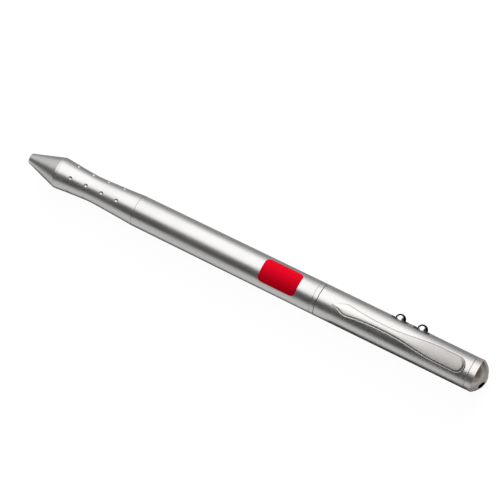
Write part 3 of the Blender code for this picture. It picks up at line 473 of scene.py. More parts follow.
def blastedMetal(name, colour, roughness, grain, depth, handling=0.03, tail=None, dark=0.94):
    # blasted, then anodised or plated: an even satin sheen with a fine grain, a little uneven from handling
    material, tree, shader = newMaterial(name)
    place = objectPlace(tree)
    fine = addNode(tree, "ShaderNodeTexNoise", {"Vector": place, "Scale": perMetre(grain), "Detail": 2})
    broad = addNode(tree, "ShaderNodeTexNoise", {"Vector": place, "Scale": perMetre(handlingSpots), "Detail": 3})
    uneven = addNode(tree, "ShaderNodeMapRange", {
        "Value": broad, "From Min": noiseSpan[0], "From Max": noiseSpan[1],
        "To Min": roughness - handling, "To Max": roughness + handling})
    base = linear(colour)
    if tail:
        # painted shade: the clip's colour darkens from its free end to the lamp end, standing in for the darker
        # reflection along its tail
        along = addNode(tree, "ShaderNodeSeparateXYZ", {"Vector": place})
        share = addNode(tree, "ShaderNodeMapRange", {
            "Value": along.outputs["X"], "From Min": pen.tip + pen.clipStart * mm,
            "From Max": pen.tip + pen.clipEnd * mm})
        base = addNode(tree, "ShaderNodeMix", {0: share, 6: base, 7: linear(tail)}, data_type="RGBA")
    addGrain(tree, shader, fine, (base, linear("#FFFFFF", dark)), depth, blend_type="MULTIPLY")
    setSockets(tree, shader, {"Roughness": uneven, "Metallic": 1})
    return material


def turnedMetal(name, colour, roughness, pitch, depth, dark=0.93):
    # turned on a lathe: fine rings round the axis
    material, tree, shader = newMaterial(name)
    split = addNode(tree, "ShaderNodeSeparateXYZ", {"Vector": objectPlace(tree)})
    rings = addNode(tree, "ShaderNodeTexNoise", {"W": split.outputs["X"], "Scale": perMetre(pitch), "Detail": 1},
                    noise_dimensions="1D")
    addGrain(tree, shader, rings, (linear(colour, dark), linear(colour)), depth)
    setSockets(tree, shader, {"Roughness": roughness, "Metallic": 1})
    return material


def paintBoreShade(material, centre, radius, shadeColour="#060606", roughness=0.9):
    # painted shade: the laser bore's mouth is coloured matt black, darkening the recess
    tree = material.node_tree
    shader = tree.nodes["Principled BSDF"]
    split = addNode(tree, "ShaderNodeSeparateXYZ", {"Vector": objectPlace(tree)}).outputs
    across = addNode(tree, "ShaderNodeCombineXYZ", {"Y": split["Y"], "Z": split["Z"]})
    axis = Vector((0, pen.axisY, pen.axisZ)) + Vector((0, *centre)) * mm
    away = addNode(tree, "ShaderNodeVectorMath", {0: across, 1: axis}, operation="DISTANCE")
    inside = addNode(tree, "ShaderNodeMath", {0: away, 1: radius * mm}, operation="LESS_THAN")
    metal = shader.inputs["Base Color"].links[0].from_socket
    colour = addNode(tree, "ShaderNodeMix", {0: inside, 6: metal, 7: linear(shadeColour)}, data_type="RGBA")
    rough = addNode(tree, "ShaderNodeMapRange", {
        "Value": inside, "To Min": shader.inputs["Roughness"].default_value, "To Max": roughness})
    setSockets(tree, shader, {"Base Color": colour, "Roughness": rough})


def mouldedPlastic(name, colour, roughness, grain, gloss=0.5, depth=0.004, dark=0.9):
    # moulded plastic: soft sheen with the faint texture of the mould
    material, tree, shader = newMaterial(name)
    noise = addNode(tree, "ShaderNodeTexNoise", {"Vector": objectPlace(tree), "Scale": perMetre(grain), "Detail": 2})
    addGrain(tree, shader, noise, (linear(colour, dark), linear(colour)), depth)
    setSockets(tree, shader, {"Roughness": roughness, "Specular IOR Level": gloss})
    return material


def clearPlastic(name, colour, ior, roughness, length=0.8, depth=0.01):
    # cast or moulded clear: glassy, with slow waves and a little haze where it set unevenly
    material, tree, shader = newMaterial(name)
    waves = addNode(tree, "ShaderNodeTexNoise", {"Vector": objectPlace(tree), "Scale": perMetre(length), "Detail": 1})
    haze = addNode(tree, "ShaderNodeMapRange", {"Value": waves, "To Max": 2 * roughness})
    bump = addNode(tree, "ShaderNodeBump", {"Height": waves, "Distance": depth * mm, "Strength": 1})
    setSockets(tree, shader, {
        "Base Color": linear(colour), "Roughness": haze, "Normal": bump, "Transmission Weight": 1, "IOR": ior})
    return material


# The blasting's grain and the lathe's rings are finer than a pixel, so both are drawn two to three times as coarse.
finishes = {
    # soft, wide highlights that hide finger marks
    "barrel": blastedMetal("satin anodised aluminium", "#BDBCBB", 0.35, 0.12, 0.0012),
    # a shade warmer than the barrel, with rings that pull the highlight out across the cone
    "nose": turnedMetal("satin nickel on turned brass", "#B8B7B6", 0.37, 0.09, 0.0005),
    # the same sheen as the barrel, and faint circles on the dome
    "cap": turnedMetal("anodised turned aluminium", "#C0BCB9", 0.36, 0.1, 0.0005),
    # smooth and even, so that the ring reads as part of the tube
    "ring": blastedMetal("satin chrome trim", "#BDBCBB", 0.35, 0.1, 0.001),
    # duller and warmer than the barrel it lies on
    # painted shade: the colour fades to the darker tail colour towards the lamp end, in place of the darker reflection
    # there
    "clip": blastedMetal("blasted stainless steel", "#D5D4D1", 0.42, 0.16, 0.003, tail="#9B9794"),
    # a mirror: a dark rim and small sharp lights
    "ball": turnedMetal("polished chrome", "#DADADA", 0.05, 0.3, 0.0001),
    # flat, full red with hardly any shine
    "label": mouldedPlastic("red enamel", "#FF0227", 0.5, 0.25, 0.03),
    # warm yellow with bright turning marks
    "brass": turnedMetal("turned brass", "#D2A85C", 0.22, 0.12, 0.001),
    # cold grey with streaks of light along it
    "steel": turnedMetal("plain drawn steel", "#C9C9C8", 0.22, 0.15, 0.0008),
    # bright can, slightly scuffed by its neighbours
    "cell": blastedMetal("nickel plated steel can", "#CFCECB", 0.2, 0.2, 0.001),
    # milky white with a waxy shine
    "acetal": mouldedPlastic("white acetal", "#E4E1D8", 0.4, 0.3),
    # near black, the fibres dull its shine
    "nylon": mouldedPlastic("black glass filled nylon", "#1C1C1E", 0.45, 0.2),
    # thin bright sheet, cloudy from the tin
    "cover": blastedMetal("tinned switch cover", "#B9B9B8", 0.3, 0.2, 0.001),
    # deep green with an uneven gloss
    "board": mouldedPlastic("green solder mask", "#17552F", 0.3, 0.4),
    # pale yellow, glossy as tape
    "wrap": mouldedPlastic("thin yellow film", "#E5DA9C", 0.3, 0.5),
    # clear with a red cast that warns of the beam
    "lens": clearPlastic("moulded acrylic lens", "#F2B8B8", 1.49, 0.03),
    # water clear, its rim bends the light
    "epoxy": clearPlastic("clear lamp epoxy", "#F4F7FA", 1.52, 0.06),
}
print("finishes made")


# Geometry Nodes
def newTree(name, **sockets):
    tree = bpy.data.node_groups.new(name, "GeometryNodeTree")
    for way in ("OUTPUT", "INPUT"):
        tree.interface.new_socket("Geometry", in_out=way, socket_type="NodeSocketGeometry")
    for kind, labels in sockets.items():
        for label in labels:
            tree.interface.new_socket(label, in_out="INPUT", socket_type="NodeSocket" + kind)
    return tree, addNode(tree, "NodeGroupInput").outputs


def endTree(tree, geometry, material):
    real = addNode(tree, "GeometryNodeRealizeInstances", {"Geometry": geometry})
    coated = addNode(tree, "GeometryNodeSetMaterial", {"Geometry": real, "Material": material})
    addNode(tree, "NodeGroupOutput", {0: coated})
    return tree


def dimpleTree(segments=28, rings=20):
    # rows of round dimples pressed into any round body: each finds the surface for itself
    tree, given = newTree(
        "dimples", Vector=["First"], Float=["Pitch", "Turn", "Cutter", "Rise", "Reach"], Int=["Per row", "Rows"],
        Material=["Material"])
    step = addNode(tree, "ShaderNodeCombineXYZ", {"X": given["Pitch"]})
    line = addNode(tree, "GeometryNodeMeshLine", {
        "Count": given["Per row"], "Start Location": given["First"], "Offset": step})
    rows = addNode(tree, "GeometryNodeDuplicateElements", {"Geometry": line, "Amount": given["Rows"]}, domain="POINT")
    share = addNode(tree, "ShaderNodeMath", {0: rows.outputs["Duplicate Index"], 1: given["Rows"]}, operation="DIVIDE")
    angle = addNode(tree, "ShaderNodeMath", {0: share, 1: 2 * math.pi, 2: given["Turn"]}, operation="MULTIPLY_ADD")
    sine, cosine = (addNode(tree, "ShaderNodeMath", {0: angle}, operation=kind) for kind in ("SINE", "COSINE"))
    out = addNode(tree, "ShaderNodeCombineXYZ", {"Y": sine, "Z": cosine})
    outside, inward, lift = (addNode(tree, "ShaderNodeVectorMath", {0: out, 3: length}, operation="SCALE")
                             for length in (given["Reach"], -1.0, given["Rise"]))
    place = addNode(tree, "GeometryNodeInputPosition")
    source = addNode(tree, "ShaderNodeVectorMath", {0: place, 1: outside}, operation="ADD")
    found = addNode(tree, "GeometryNodeRaycast", {
        "Target Geometry": given["Geometry"], "Source Position": source, "Ray Direction": inward, "Ray Length": 1.0})
    target = addNode(tree, "ShaderNodeVectorMath", {0: found.outputs["Hit Position"], 1: lift}, operation="ADD")
    points = addNode(tree, "GeometryNodeSetPosition", {"Geometry": rows, "Position": target})
    sphere = addNode(tree, "GeometryNodeMeshUVSphere", {
        "Segments": segments, "Rings": rings, "Radius": given["Cutter"]})
    cutters = addNode(tree, "GeometryNodeInstanceOnPoints", {"Points": points, "Instance": sphere})
    solid = addNode(tree, "GeometryNodeRealizeInstances", {"Geometry": cutters})
    cut = addNode(tree, "GeometryNodeMeshBoolean", {0: given["Geometry"], 1: solid},
                  operation="DIFFERENCE", solver="EXACT")
    return endTree(tree, cut, given["Material"])


def threadTree(stubShare=0.97):
    # a screw thread on a round stub: the surface sinks between the turns, less so near both ends, and what lies
    # further in than this share of the crest stays
    tree, given = newTree("thread", Float=["Start", "End", "Pitch", "Depth", "Crest"], Vector=["Axis"],
                          Material=["Material"])
    place = addNode(tree, "GeometryNodeInputPosition")
    arm = addNode(tree, "ShaderNodeVectorMath", {0: place, 1: given["Axis"]}, operation="SUBTRACT")
    split = addNode(tree, "ShaderNodeSeparateXYZ", {"Vector": arm}).outputs
    across = addNode(tree, "ShaderNodeCombineXYZ", {"Y": split["Y"], "Z": split["Z"]})
    radius = addNode(tree, "ShaderNodeVectorMath", {0: across}, operation="LENGTH").outputs["Value"]
    out = addNode(tree, "ShaderNodeVectorMath", {0: across}, operation="NORMALIZE")
    angle = addNode(tree, "ShaderNodeMath", {0: split["Y"], 1: split["Z"]}, operation="ARCTAN2")
    turns = addNode(tree, "ShaderNodeMath", {0: angle, 1: 2 * math.pi}, operation="DIVIDE")
    pitches = []
    for ahead, behind in ((split["X"], given["Start"]), (given["End"], split["X"])):
        length = addNode(tree, "ShaderNodeMath", {0: ahead, 1: behind}, operation="SUBTRACT")
        pitches.append(addNode(tree, "ShaderNodeMath", {0: length, 1: given["Pitch"]}, operation="DIVIDE"))
    phase = addNode(tree, "ShaderNodeMath", {0: pitches[0], 1: turns}, operation="SUBTRACT")
    wave = addNode(tree, "ShaderNodeMath", {0: phase, 1: 0.5}, operation="PINGPONG")
    nearest = addNode(tree, "ShaderNodeMath", {0: pitches[0], 1: pitches[1]}, operation="MINIMUM")
    fade = addNode(tree, "ShaderNodeClamp", {"Value": nearest, "Min": 0, "Max": 1})
    crest = addNode(tree, "ShaderNodeMath", {0: given["Crest"], 1: stubShare}, operation="MULTIPLY")
    onCrest = addNode(tree, "ShaderNodeMath", {0: radius, 1: crest}, operation="GREATER_THAN")
    sink = wave
    for factor in (fade, given["Depth"], -2.0, onCrest):
        sink = addNode(tree, "ShaderNodeMath", {0: sink, 1: factor}, operation="MULTIPLY")
    offset = addNode(tree, "ShaderNodeVectorMath", {0: out, 3: sink}, operation="SCALE")
    moved = addNode(tree, "GeometryNodeSetPosition", {"Geometry": given["Geometry"], "Offset": offset})
    return endTree(tree, moved, given["Material"])


def coilTree(perTurn=40, wireFacets=14):
    # a conical spring: a round wire drawn along a spiral that climbs in x
    tree, given = newTree("coil", Float=["Turns", "Base radius", "Top radius", "Length", "Wire radius"],
                          Vector=["Place"], Material=["Material"])
    spiral = addNode(tree, "GeometryNodeCurveSpiral", {
        "Resolution": perTurn, "Rotations": given["Turns"], "Start Radius": given["Base radius"],
        "End Radius": given["Top radius"], "Height": given["Length"]})
    laid = addNode(tree, "GeometryNodeTransform", {
        "Geometry": spiral, "Translation": given["Place"], "Rotation": (0, math.pi / 2, 0)})
    wire = addNode(tree, "GeometryNodeCurvePrimitiveCircle", {
        "Resolution": wireFacets, "Radius": given["Wire radius"]})
    drawn = addNode(tree, "GeometryNodeCurveToMesh", {"Curve": laid, "Profile Curve": wire, "Fill Caps": True})
    return endTree(tree, drawn, given["Material"])


trees = {"dimples": dimpleTree(), "thread": threadTree(), "coil": coilTree()}
axisVector = (0, pen.axisY, pen.axisZ)


# Nose cone
noseCone = {
    "tipRadius": 1.6, "tipRound": 0.2, "mouthRound": 0.08, "shoulder": 4.85, "shoulderRound": 0.15, "rearRound": 0.02,
    "band": 0.6, "bore": 1.35, "chamber": 2.1, "chamberStart": 5.5, "stub": 2.9, "relief": 0.3, "leadIn": 0.25,
    "threadPitch": 0.75, "threadDepth": 0.3,
}


def stubLine(start, end, radius, pitch, perTurn=10):
    # enough rings along a stub to carry a thread
    count = round((end - start) / pitch * perTurn)
    return [(start + (end - start) * step / count, radius) for step in range(count + 1)]


def cutThread(piece, start, end, crest, size, finish):
    runTree(piece, trees["thread"], {
        "Start": pen.tip + start * mm, "End": pen.tip + end * mm, "Pitch": size["threadPitch"] * mm,
        "Depth": size["threadDepth"] * mm, "Crest": crest * mm, "Axis": axisVector, "Material": finishes[finish]})


def makeNoseCone(size):
    rear = pen.gripStart - hairSeam / 2
    threadStart, threadEnd = rear + size["relief"], pen.noseEnd - size["relief"]
    bend = size["chamberStart"] - (size["chamber"] - size["bore"])
    corners = [
        (0, size["bore"], size["mouthRound"]),
        (0, size["tipRadius"], size["tipRound"]),
        (rear - size["band"], size["shoulder"], size["shoulderRound"]),
        (rear, size["shoulder"], size["rearRound"]),
        (rear, size["stub"]),
        *stubLine(threadStart, threadEnd, size["stub"], size["threadPitch"]),
        (pen.noseEnd, size["stub"] - size["leadIn"]),
        (pen.noseEnd, size["chamber"]),
        (size["chamberStart"], size["chamber"]),
        (bend, size["bore"]),
    ]
    cone = turnedPiece("nose_cone_turned", corners)
    cutThread(cone, threadStart, threadEnd, size["stub"], size, "nose")
    finishPiece(cone, "nose", "nose", ["nose_cone"])


makeNoseCone(noseCone)


# Waisted grip with its dimples
gripSleeve = {
    "front": 4.86, "waist": 4.04, "waistPlace": 11.4, "rear": 4.84, "taper": 1.3, "bore": 3.2, "stub": 4.0,
    "frontEdge": 0.02, "rearEdge": 0.05, "stubEdge": 0.2, "boreEdge": 0.15, "rings": 44, "dimpleWidth": 1.16,
    "dimpleDepth": 0.25, "dimpleFirst": 4.6, "dimplePitch": 5.28, "dimplesPerRow": 4, "dimpleRows": 6,
    "dimpleTurn": -5.4,
    "reach": 20,            # mm from the axis, where the search for the surface starts
}


def gripRadius(size, place):
    length = pen.lowerStart - pen.gripStart
    if place < size["waistPlace"]:
        share, end = 1 - place / size["waistPlace"], size["front"]
    else:
        share, end = (place - size["waistPlace"]) / (length - size["waistPlace"]), size["rear"]
    return size["waist"] + (end - size["waist"]) * share ** size["taper"]


def makeGripSleeve(size):
    start, end = pen.gripStart, pen.lowerStart
    length = end - start
    outer = [(start + length * step / size["rings"], gripRadius(size, length * step / size["rings"]))
             for step in range(size["rings"] + 1)]
    corners = [
        (*outer[0], size["frontEdge"]),
        *outer[1:-1],
        (*outer[-1], size["rearEdge"]),
        (end, size["stub"]),
        (pen.gripEnd, size["stub"], size["stubEdge"]),
        (pen.gripEnd, size["bore"], size["stubEdge"]),
        (start, size["bore"], size["boreEdge"]),
    ]
    grip = turnedPiece("grip_sleeve_dimpled", corners)
    half, depth = size["dimpleWidth"] / 2, size["dimpleDepth"]
    cutter = (half ** 2 + depth ** 2) / (2 * depth)
    runTree(grip, trees["dimples"], {
        "First": (pen.tip + (start + size["dimpleFirst"]) * mm, pen.axisY, pen.axisZ),
        "Pitch": size["dimplePitch"] * mm, "Per row": size["dimplesPerRow"], "Rows": size["dimpleRows"],
        "Turn": math.radians(size["dimpleTurn"]), "Cutter": cutter * mm, "Rise": (cutter - depth) * mm,
        "Reach": size["reach"] * mm, "Material": finishes["barrel"]})
    finishPiece(grip, "barrel", "lower_half", ["grip_sleeve"])


makeGripSleeve(gripSleeve)
print("writing end made")


# Lower barrel and its label
lowerBarrel = {"front": 4.83, "rear": 4.97, "bore": 4.3, "edge": 0.04}
label = {"length": 12.1, "width": 8.1, "corner": 1.5, "toRing": 11.3, "turn": 6.3, "thickness": 0.2,
         "edge": 0.05, "gap": 0.04, "gapBelow": 0.02, "slice": 0.15}


def lowerRadius(x):
    share = (x - pen.lowerStart) / (pen.ringStart - pen.lowerStart)
    return lowerBarrel["front"] + (lowerBarrel["rear"] - lowerBarrel["front"]) * share


def roundedPlate(length, width, corner, steps=8):
    line = []
    for x, y, start in ((1, 1, 0), (-1, 1, 90), (-1, -1, 180), (1, -1, 270)):
        for step in range(steps + 1):
            angle = math.radians(start + 90 * step / steps)
            line.append((x * (length / 2 - corner) + corner * math.cos(angle),
                         y * (width / 2 - corner) + corner * math.sin(angle)))
    return line


def wrappedPlate(name, size, grow, low, high, edge):
    # a flat plate with rounded corners, sliced along the barrel and bent round it
    outline = roundedPlate(size["length"] + 2 * grow, size["width"] + 2 * grow, size["corner"] + grow)
    bm = bmesh.new()
    bottom = bm.faces.new([bm.verts.new((x, y, low)) for x, y in outline])
    raised = bmesh.ops.extrude_face_region(bm, geom=[bottom])["geom"]
    top = {item for item in raised if isinstance(item, bmesh.types.BMVert)}
    bmesh.ops.translate(bm, verts=list(top), vec=(0, 0, high - low))
    if edge:
        rim = [item for item in bm.edges if item.verts[0] in top and item.verts[1] in top]
        bmesh.ops.bevel(bm, geom=rim, offset=edge, segments=3, profile=0.5, affect="EDGES")
    half = size["width"] / 2 + grow
    for step in range(1, round(2 * half / size["slice"])):
        whole = bm.verts[:] + bm.edges[:] + bm.faces[:]
        bmesh.ops.bisect_plane(bm, geom=whole, plane_co=(0, step * size["slice"] - half, 0), plane_no=(0, 1, 0))
    middle = pen.ringStart - size["toRing"]
    surface = lowerRadius(middle)
    for vert in bm.verts:
        x = middle + vert.co.x
        y, z = around(lowerRadius(x) + vert.co.z, size["turn"] + math.degrees(vert.co.y / surface))
        vert.co = (x, y, z)
    bmesh.ops.recalc_face_normals(bm, faces=bm.faces)
    return meshFrom(bm, name)


def makeLowerBarrel(size):
    barrel = turnedPiece("lower_barrel_turned", tubeCorners(
        pen.lowerStart + hairSeam, pen.ringStart, size["front"], size["rear"], size["bore"], size["edge"]))
    bed = -label["thickness"] - label["gapBelow"]
    combine(barrel, wrappedPlate("labelBed", label, label["gap"], bed, clearance, 0))
    finishPiece(barrel, "barrel", "lower_half", ["lower_barrel"])
    plate = wrappedPlate("labelPlate", label, 0, -label["thickness"], 0, label["edge"])
    finishPiece(newObject("label_plate_enamel", plate), "label", "lower_half", ["label_plate"])


makeLowerBarrel(lowerBarrel)


# Trim ring between the halves
trimRing = {"radius": 4.96, "edge": 0.07, "bore": 3.5, "spigot": 4.0, "spigotLength": 3.0}


def makeTrimRing(size):
    start, end = pen.ringStart + hairSeam / 2, pen.upperStart - openSeam
    corners = [
        (start, size["radius"], size["edge"] / 2),
        (end, size["radius"], size["edge"]),
        (end, size["bore"], innerEdge),
        (start - size["spigotLength"], size["bore"], innerEdge),
        (start - size["spigotLength"], size["spigot"], innerEdge),
        (start, size["spigot"]),
    ]
    finishPiece(turnedPiece("center_ring_turned", corners), "ring", "lower_half", ["center_ring"])


makeTrimRing(trimRing)
print("lower half made")


# Upper barrel with the holes for the buttons and the slot for the clip's foot
upperBarrel = {"bore": 4.45, "edge": 0.08, "hole": 1.8, "chamfer": 0.3, "chamferDepth": 0.35, "slotLength": 1.8,
               "slotWidth": 3.2, "slotToTail": 3.6}


def acrossMatrix(x):
    # a piece made along x stands on the axis at x and points to the buttons' side
    stand = Matrix.Translation((x, pen.axisY, pen.axisZ))
    return stand @ Matrix.Rotation(math.pi / 2, 4, "Z") @ Matrix.Scale(mm, 4)


def boxMesh(name, low, high):
    bm = bmesh.new()
    low, high = Vector(low), Vector(high)
    place = Matrix.Translation((low + high) / 2) @ Matrix.Diagonal(high - low).to_4x4()
    bmesh.ops.create_cube(bm, size=1, matrix=place)
    return meshFrom(bm, name)


def makeUpperBarrel(size):
    radius, hole = pen.radius, size["hole"]
    barrel = turnedPiece("upper_barrel_turned", tubeCorners(
        pen.upperStart, pen.capStart, radius, radius, size["bore"], size["edge"]))
    reach = radius + clearance
    line = [(0, 0), (0, hole), (radius - size["chamferDepth"], hole), (reach, hole + size["chamfer"]), (reach, 0)]
    for x in pen.buttons:
        combine(barrel, turnedMesh("hole", line, segments=smallFacets, matrix=acrossMatrix(x)))
    foot = pen.capStart - size["slotToTail"]
    halfLength, halfWidth = size["slotLength"] / 2, size["slotWidth"] / 2
    combine(barrel, boxMesh("slot", (foot - halfLength, -halfWidth, 0), (foot + halfLength, halfWidth, reach)))
    finishPiece(barrel, "barrel", "upper_half", ["upper_barrel"])


makeUpperBarrel(upperBarrel)


# Lamp end: band and dome with the two bores
endCap = {"domeHeight": 2.95, "domeSteps": 24, "shoulderEdge": 0.12, "bandEdge": 0.06, "plug": 4.15,
          "plugEdge": 0.2, "optics": 2.25, "turn": -58, "laserMouth": 1.12, "boreShadeEdge": 0.02, "laserSeat": 2.05,
          "laserBore": 1.65, "lampBore": 1.65}


def makeEndCap(size):
    radius = pen.radius
    start, tail = pen.capStart + hairSeam, pen.tail
    sphere = (radius ** 2 + size["domeHeight"] ** 2) / (2 * size["domeHeight"])
    dome = ballLine(tail - sphere, sphere, math.degrees(math.asin(radius / sphere)), size["domeSteps"])
    corners = [
        (pen.plugStart, 0),
        (pen.plugStart, size["plug"], size["plugEdge"]),
        (start, size["plug"]),
        (start, radius, size["bandEdge"]),
        (*dome[0], size["shoulderEdge"]),
        *dome[1:-1],
        (tail, 0),
    ]
    cap = turnedPiece("end_cap_turned", corners)
    back, front = pen.plugStart - clearance, tail + clearance
    seat = tail - size["laserSeat"]
    laser = [(back, 0), (back, size["laserBore"]), (seat, size["laserBore"]), (seat, size["laserMouth"]),
             (front, size["laserMouth"]), (front, 0)]
    lamp = [(back, 0), (back, size["lampBore"]), (front, size["lampBore"]), (front, 0)]
    laserPlace, lampPlace = (around(size["optics"], size["turn"] + turn) for turn in (0, 180))
    combine(cap, turnedMesh("laserBore", laser, segments=smallFacets, centre=laserPlace))
    combine(cap, turnedMesh("lampBore", lamp, segments=smallFacets, centre=lampPlace))
    # painted shade: matt black colour in the laser bore's mouth
    paintBoreShade(finishes["cap"], laserPlace, size["laserMouth"] + size["boreShadeEdge"])
    finishPiece(cap, "cap", "upper_half", ["end_cap"])


makeEndCap(endCap)


# Ball buttons
ballButton = {"ball": ballRadius, "neck": 0.9, "flange": 2.2, "flangeThickness": 0.4, "steps": 28}


def makeButton(name, node, x, size):
    foot, top = pen.buttonFoot, pen.buttonTop
    widest = 180 - math.degrees(math.asin(size["neck"] / size["ball"]))
    corners = [
        (foot, 0),
        (foot, size["flange"], innerEdge),
        (foot + size["flangeThickness"], size["flange"], innerEdge),
        (foot + size["flangeThickness"], size["neck"], innerEdge),
        *ballLine(top - size["ball"], size["ball"], widest, size["steps"])[:-1],
        (top, 0),
    ]
    button = turnedPiece(name, corners, segments=smallFacets, matrix=acrossMatrix(x))
    finishPiece(button, "ball", node, [node])


makeButton("laser_button_ball", "laser_button", pen.buttons[0], ballButton)
makeButton("lamp_button_ball", "lamp_button", pen.buttons[1], ballButton)


# Pocket clip
pocketClip = {
    "halfWidth": 2.5, "thickness": 0.9, "base": 5.4, "rim": 0.17, "rimHeight": 0.53, "ledge": 0.13, "slope": 0.46,
    "slopeHeight": 0.22, "crown": 0.14, "crownSteps": (0.7, 0.4, 0), "tip": 0.13, "tailRound": 0.055,
    "curveSteps": 8, "tipRoom": 0.95, "weld": 0.001, "footLength": 1.2, "footWidth": 2.6, "hookLength": 2.9,
    "hookThickness": 0.6, "hookTop": 3.9, "footToEnd": 2.2,
}
# along the clip from its free end, and half width, both as shares
clipOutline = [(0.05, 0.43), (0.105, 0.73), (0.2, 0.57), (0.31, 0.46), (0.42, 0.445), (0.53, 0.55), (0.64, 0.78),
               (0.75, 0.96), (0.86, 1.0), (0.945, 1.0)]


def smoothLine(points, steps):
    line = []
    for place in range(len(points) - 1):
        before, start = Vector(points[max(place - 1, 0)]), Vector(points[place])
        end, after = Vector(points[place + 1]), Vector(points[min(place + 2, len(points) - 1)])
        for step in range(steps):
            t = step / steps
            line.append(0.5 * (2 * start + (end - before) * t + (2 * before - 5 * start + 4 * end - after) * t ** 2
                               + (3 * start - before - 3 * end + after) * t ** 3))
    return line + [Vector(points[-1])]


def clipHalf(size):
    curve = [(0.0, size["tip"])] + [tuple(point) for point in smoothLine(clipOutline, size["curveSteps"])]
    tailStart = 1 - size["tailRound"]
    steps = 2 * size["curveSteps"]
    for step in range(1, steps):
        angle = math.pi / 2 * step / steps
        curve.append((tailStart + size["tailRound"] * math.sin(angle), math.cos(angle)))
    length = pen.clipEnd - pen.clipStart
    return [(along * length, width * size["halfWidth"]) for along, width in curve]


def clipRings(size, outline, length):
    # from the foot of the side up: side, steep pressed rim, narrow ledge, shallow slope, then the crowned face
    side = size["thickness"] - size["rimHeight"] - size["slopeHeight"] - size["crown"]
    pressed = size["rim"] + size["ledge"] + size["slope"]
    steps = [(0, 0), (0, side), (size["rim"], side + size["rimHeight"]),
             (size["rim"] + size["ledge"], side + size["rimHeight"]),
             (pressed, side + size["rimHeight"] + size["slopeHeight"])]
    rings = []
    for inset, height in steps:
        ring = []
        for place, point in enumerate(outline):
            # the inset runs out towards the pointed end, where the clip gets narrower than its border
            along = Vector(outline[(place + 1) % len(outline)]) - Vector(outline[place - 1])
            inward = Vector((along.y, -along.x)).normalized()
            room = 1 if point[0] > length / 2 else min(1, size["tipRoom"] * abs(point[1]) / pressed)
            x, y = Vector(point) + inward * inset * room
            ring.append((x, y, size["base"] + height))
        rings.append(ring)
    edge = rings[-1]
    widest = max(abs(y) for x, y, z in edge)
    for share in size["crownSteps"]:
        rings.append([(x, y * share, z + size["crown"] * abs(y) / widest * (1 - share ** 2)) for x, y, z in edge])
    return rings


def makePocketClip(size):
    half = clipHalf(size)
    length = pen.clipEnd - pen.clipStart
    outline = half + [(length, 0)] + [(along, -width) for along, width in reversed(half)]
    bm = bmesh.new()
    rings = [[bm.verts.new((pen.clipStart + x, y, z)) for x, y, z in ring]
             for ring in clipRings(size, outline, length)]
    bm.faces.new(rings[0])
    for lower, upper in zip(rings, rings[1:]):
        for place in range(len(outline)):
            after = (place + 1) % len(outline)
            bm.faces.new((lower[place], lower[after], upper[after], upper[place]))
    bmesh.ops.remove_doubles(bm, verts=bm.verts, dist=size["weld"])
    bmesh.ops.dissolve_degenerate(bm, edges=bm.edges, dist=size["weld"])
    bmesh.ops.recalc_face_normals(bm, faces=bm.faces)
    clip = newObject("pocket_clip_pressed", meshFrom(bm, "pocketClip"))
    foot = pen.clipEnd - size["footToEnd"]
    halfLength, halfWidth = size["footLength"] / 2, size["footWidth"] / 2
    hookBase = size["hookTop"] - size["hookThickness"]
    combine(clip, boxMesh("foot", (foot - halfLength, -halfWidth, hookBase),
                          (foot + halfLength, halfWidth, size["base"] + size["thickness"] / 2)), "UNION")
    combine(clip, boxMesh("hook", (foot + halfLength - size["hookLength"], -halfWidth, hookBase),
                          (foot, halfWidth, size["hookTop"])), "UNION")
    finishPiece(clip, "clip", "clip", ["pocket_clip"], sharpAngle=12)


makePocketClip(pocketClip)
print("upper half made")


# Refill: turned brass point, its ball and the drawn tube
refill = {
    "mouth": 0.46, "mouthEdge": 0.03, "socket": 0.39, "socketEdge": 0.02, "ball": 0.35, "neck": 0.55, "neckLength": 1.6,
    "neckRound": 0.3, "radius": 1.15, "coneRound": 0.6, "collarGap": 0.1, "collarEdge": 0.05, "shank": 0.82,
    "wall": 0.25, "tubeEdge": 0.06, "steps": 16,
}


def makeRefill(size):
    front, pointEnd = spanOf("refill_point")
    ballStart, ballEnd = spanOf("refill_ball")
    tubeStart, tubeEnd = spanOf("refill_tube")
    middle = (ballStart + ballEnd) / 2
    radius, collar = size["radius"], tubeStart - size["collarGap"]
    corners = [
        (middle + size["socket"], 0),
        (middle + size["socket"], size["socket"], innerEdge),
        (front, size["socket"], size["socketEdge"]),
        (front, size["mouth"], size["mouthEdge"]),
        (front + size["neckLength"], size["neck"], size["neckRound"]),
        (tubeStart - size["neckLength"], radius, size["coneRound"]),
        (collar, radius, size["collarEdge"]),
        (collar, size["shank"]),
        (pointEnd, size["shank"]),
        (pointEnd, 0),
    ]
    point = turnedPiece("refill_point_turned", corners, segments=smallFacets)
    finishPiece(point, "brass", "refill", ["refill_point"])
    ball = turnedPiece("refill_ball_ground", ballLine(middle, size["ball"], 180, size["steps"]), segments=32)
    finishPiece(ball, "steel", "refill", ["refill_ball"])
    edge = size["tubeEdge"]
    tube = turnedPiece("refill_tube_drawn", tubeCorners(
        tubeStart, tubeEnd, radius, radius, radius - size["wall"], edge, edge), segments=smallFacets)
    finishPiece(tube, "steel", "refill", ["refill_tube"])


makeRefill(refill)


# Drive coupling with its thread, and the battery spring in its pocket
driveCoupling = {
    "spigot": 2.0, "spigotEdge": 0.15, "spigotLength": 5.6, "journal": 3.2, "threadGap": 0.15, "threadRadius": 4.15,
    "threadPitch": 0.8, "threadDepth": 0.3, "relief": 0.2, "runOut": 0.1, "edge": 0.3, "pocket": 3.4,
    "pocketEdge": 0.08, "pocketDepth": 1.0,
}
batterySpring = {"turns": 3.5, "baseRadius": 2.9, "topRadius": 1.5, "wireRadius": 0.2}


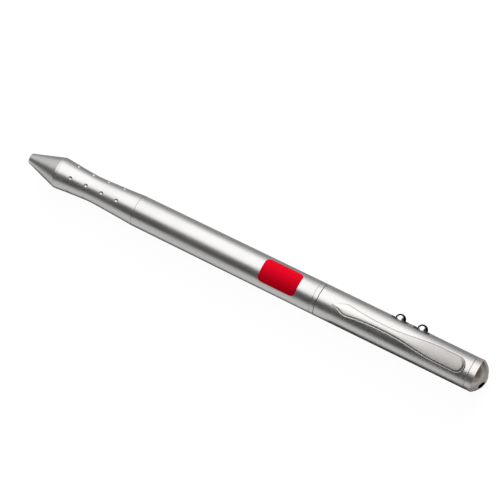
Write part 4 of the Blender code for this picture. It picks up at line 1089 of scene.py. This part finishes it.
def makeDriveCoupling(size):
    start, end = spanOf("drive_coupling")
    shoulder = start + size["spigotLength"]
    stub = pen.upperStart + size["threadGap"]
    threadStart, threadEnd = stub + size["relief"], end - size["edge"] - size["runOut"]
    crest = size["threadRadius"]
    corners = [
        (start, 0),
        (start, size["spigot"], size["spigotEdge"]),
        (shoulder, size["spigot"]),
        (shoulder, size["journal"], innerEdge),
        (stub, size["journal"]),
        (stub, crest),
        *stubLine(threadStart, threadEnd, crest, size["threadPitch"]),
        (end - size["edge"], crest),
        (end, crest - size["edge"]),
        (end, size["pocket"], size["pocketEdge"]),
        (end - size["pocketDepth"], size["pocket"], innerEdge),
        (end - size["pocketDepth"], 0),
    ]
    coupling = turnedPiece("drive_coupling_threaded", corners)
    cutThread(coupling, threadStart, threadEnd, crest, size, "brass")
    finishPiece(coupling, "brass", "drive", ["drive_coupling"])


def makeBatterySpring(size):
    start, end = spanOf("battery_spring")
    wire = size["wireRadius"]
    spring = newObject("battery_spring_wound", bpy.data.meshes.new("batterySpring"))
    runTree(spring, trees["coil"], {
        "Turns": size["turns"], "Base radius": size["baseRadius"] * mm, "Top radius": size["topRadius"] * mm,
        "Length": (end - start - 2 * wire) * mm, "Wire radius": wire * mm,
        "Place": penMatrix @ Vector((start + wire, 0, 0)), "Material": finishes["steel"]})
    finishPiece(spring, "steel", "drive", ["battery_spring"])


makeDriveCoupling(driveCoupling)
makeBatterySpring(batterySpring)
print("refill and drive made")


# The other inner pieces keep their solids and take their finish
innerFinishes = {
    "brass": ["cam_sleeve", "laser_housing", "cell_contact"],
    "steel": ["follower_pin", "laser_diode", "laser_lead_1", "laser_lead_2", "lamp_lead_1", "lamp_lead_2"],
    "cell": ["button_cell_1", "button_cell_2", "button_cell_3"],
    "acetal": ["cam_housing", "cam_follower"],
    "nylon": ["board_carrier", "refill_plug", "laser_plunger", "lamp_plunger", "driver_chip", "board_resistor_1",
              "board_resistor_2", "board_resistor_3"],
    "cover": ["laser_switch", "lamp_switch"],
    "board": ["circuit_board"],
    "wrap": ["cell_sleeve"],
    "lens": ["laser_lens"],
    "epoxy": ["lamp_led"],
}
for finish, nodes in innerFinishes.items():
    for node in nodes:
        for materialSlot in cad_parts[node].material_slots:
            materialSlot.material = finishes[finish]
print("inner pieces dressed")
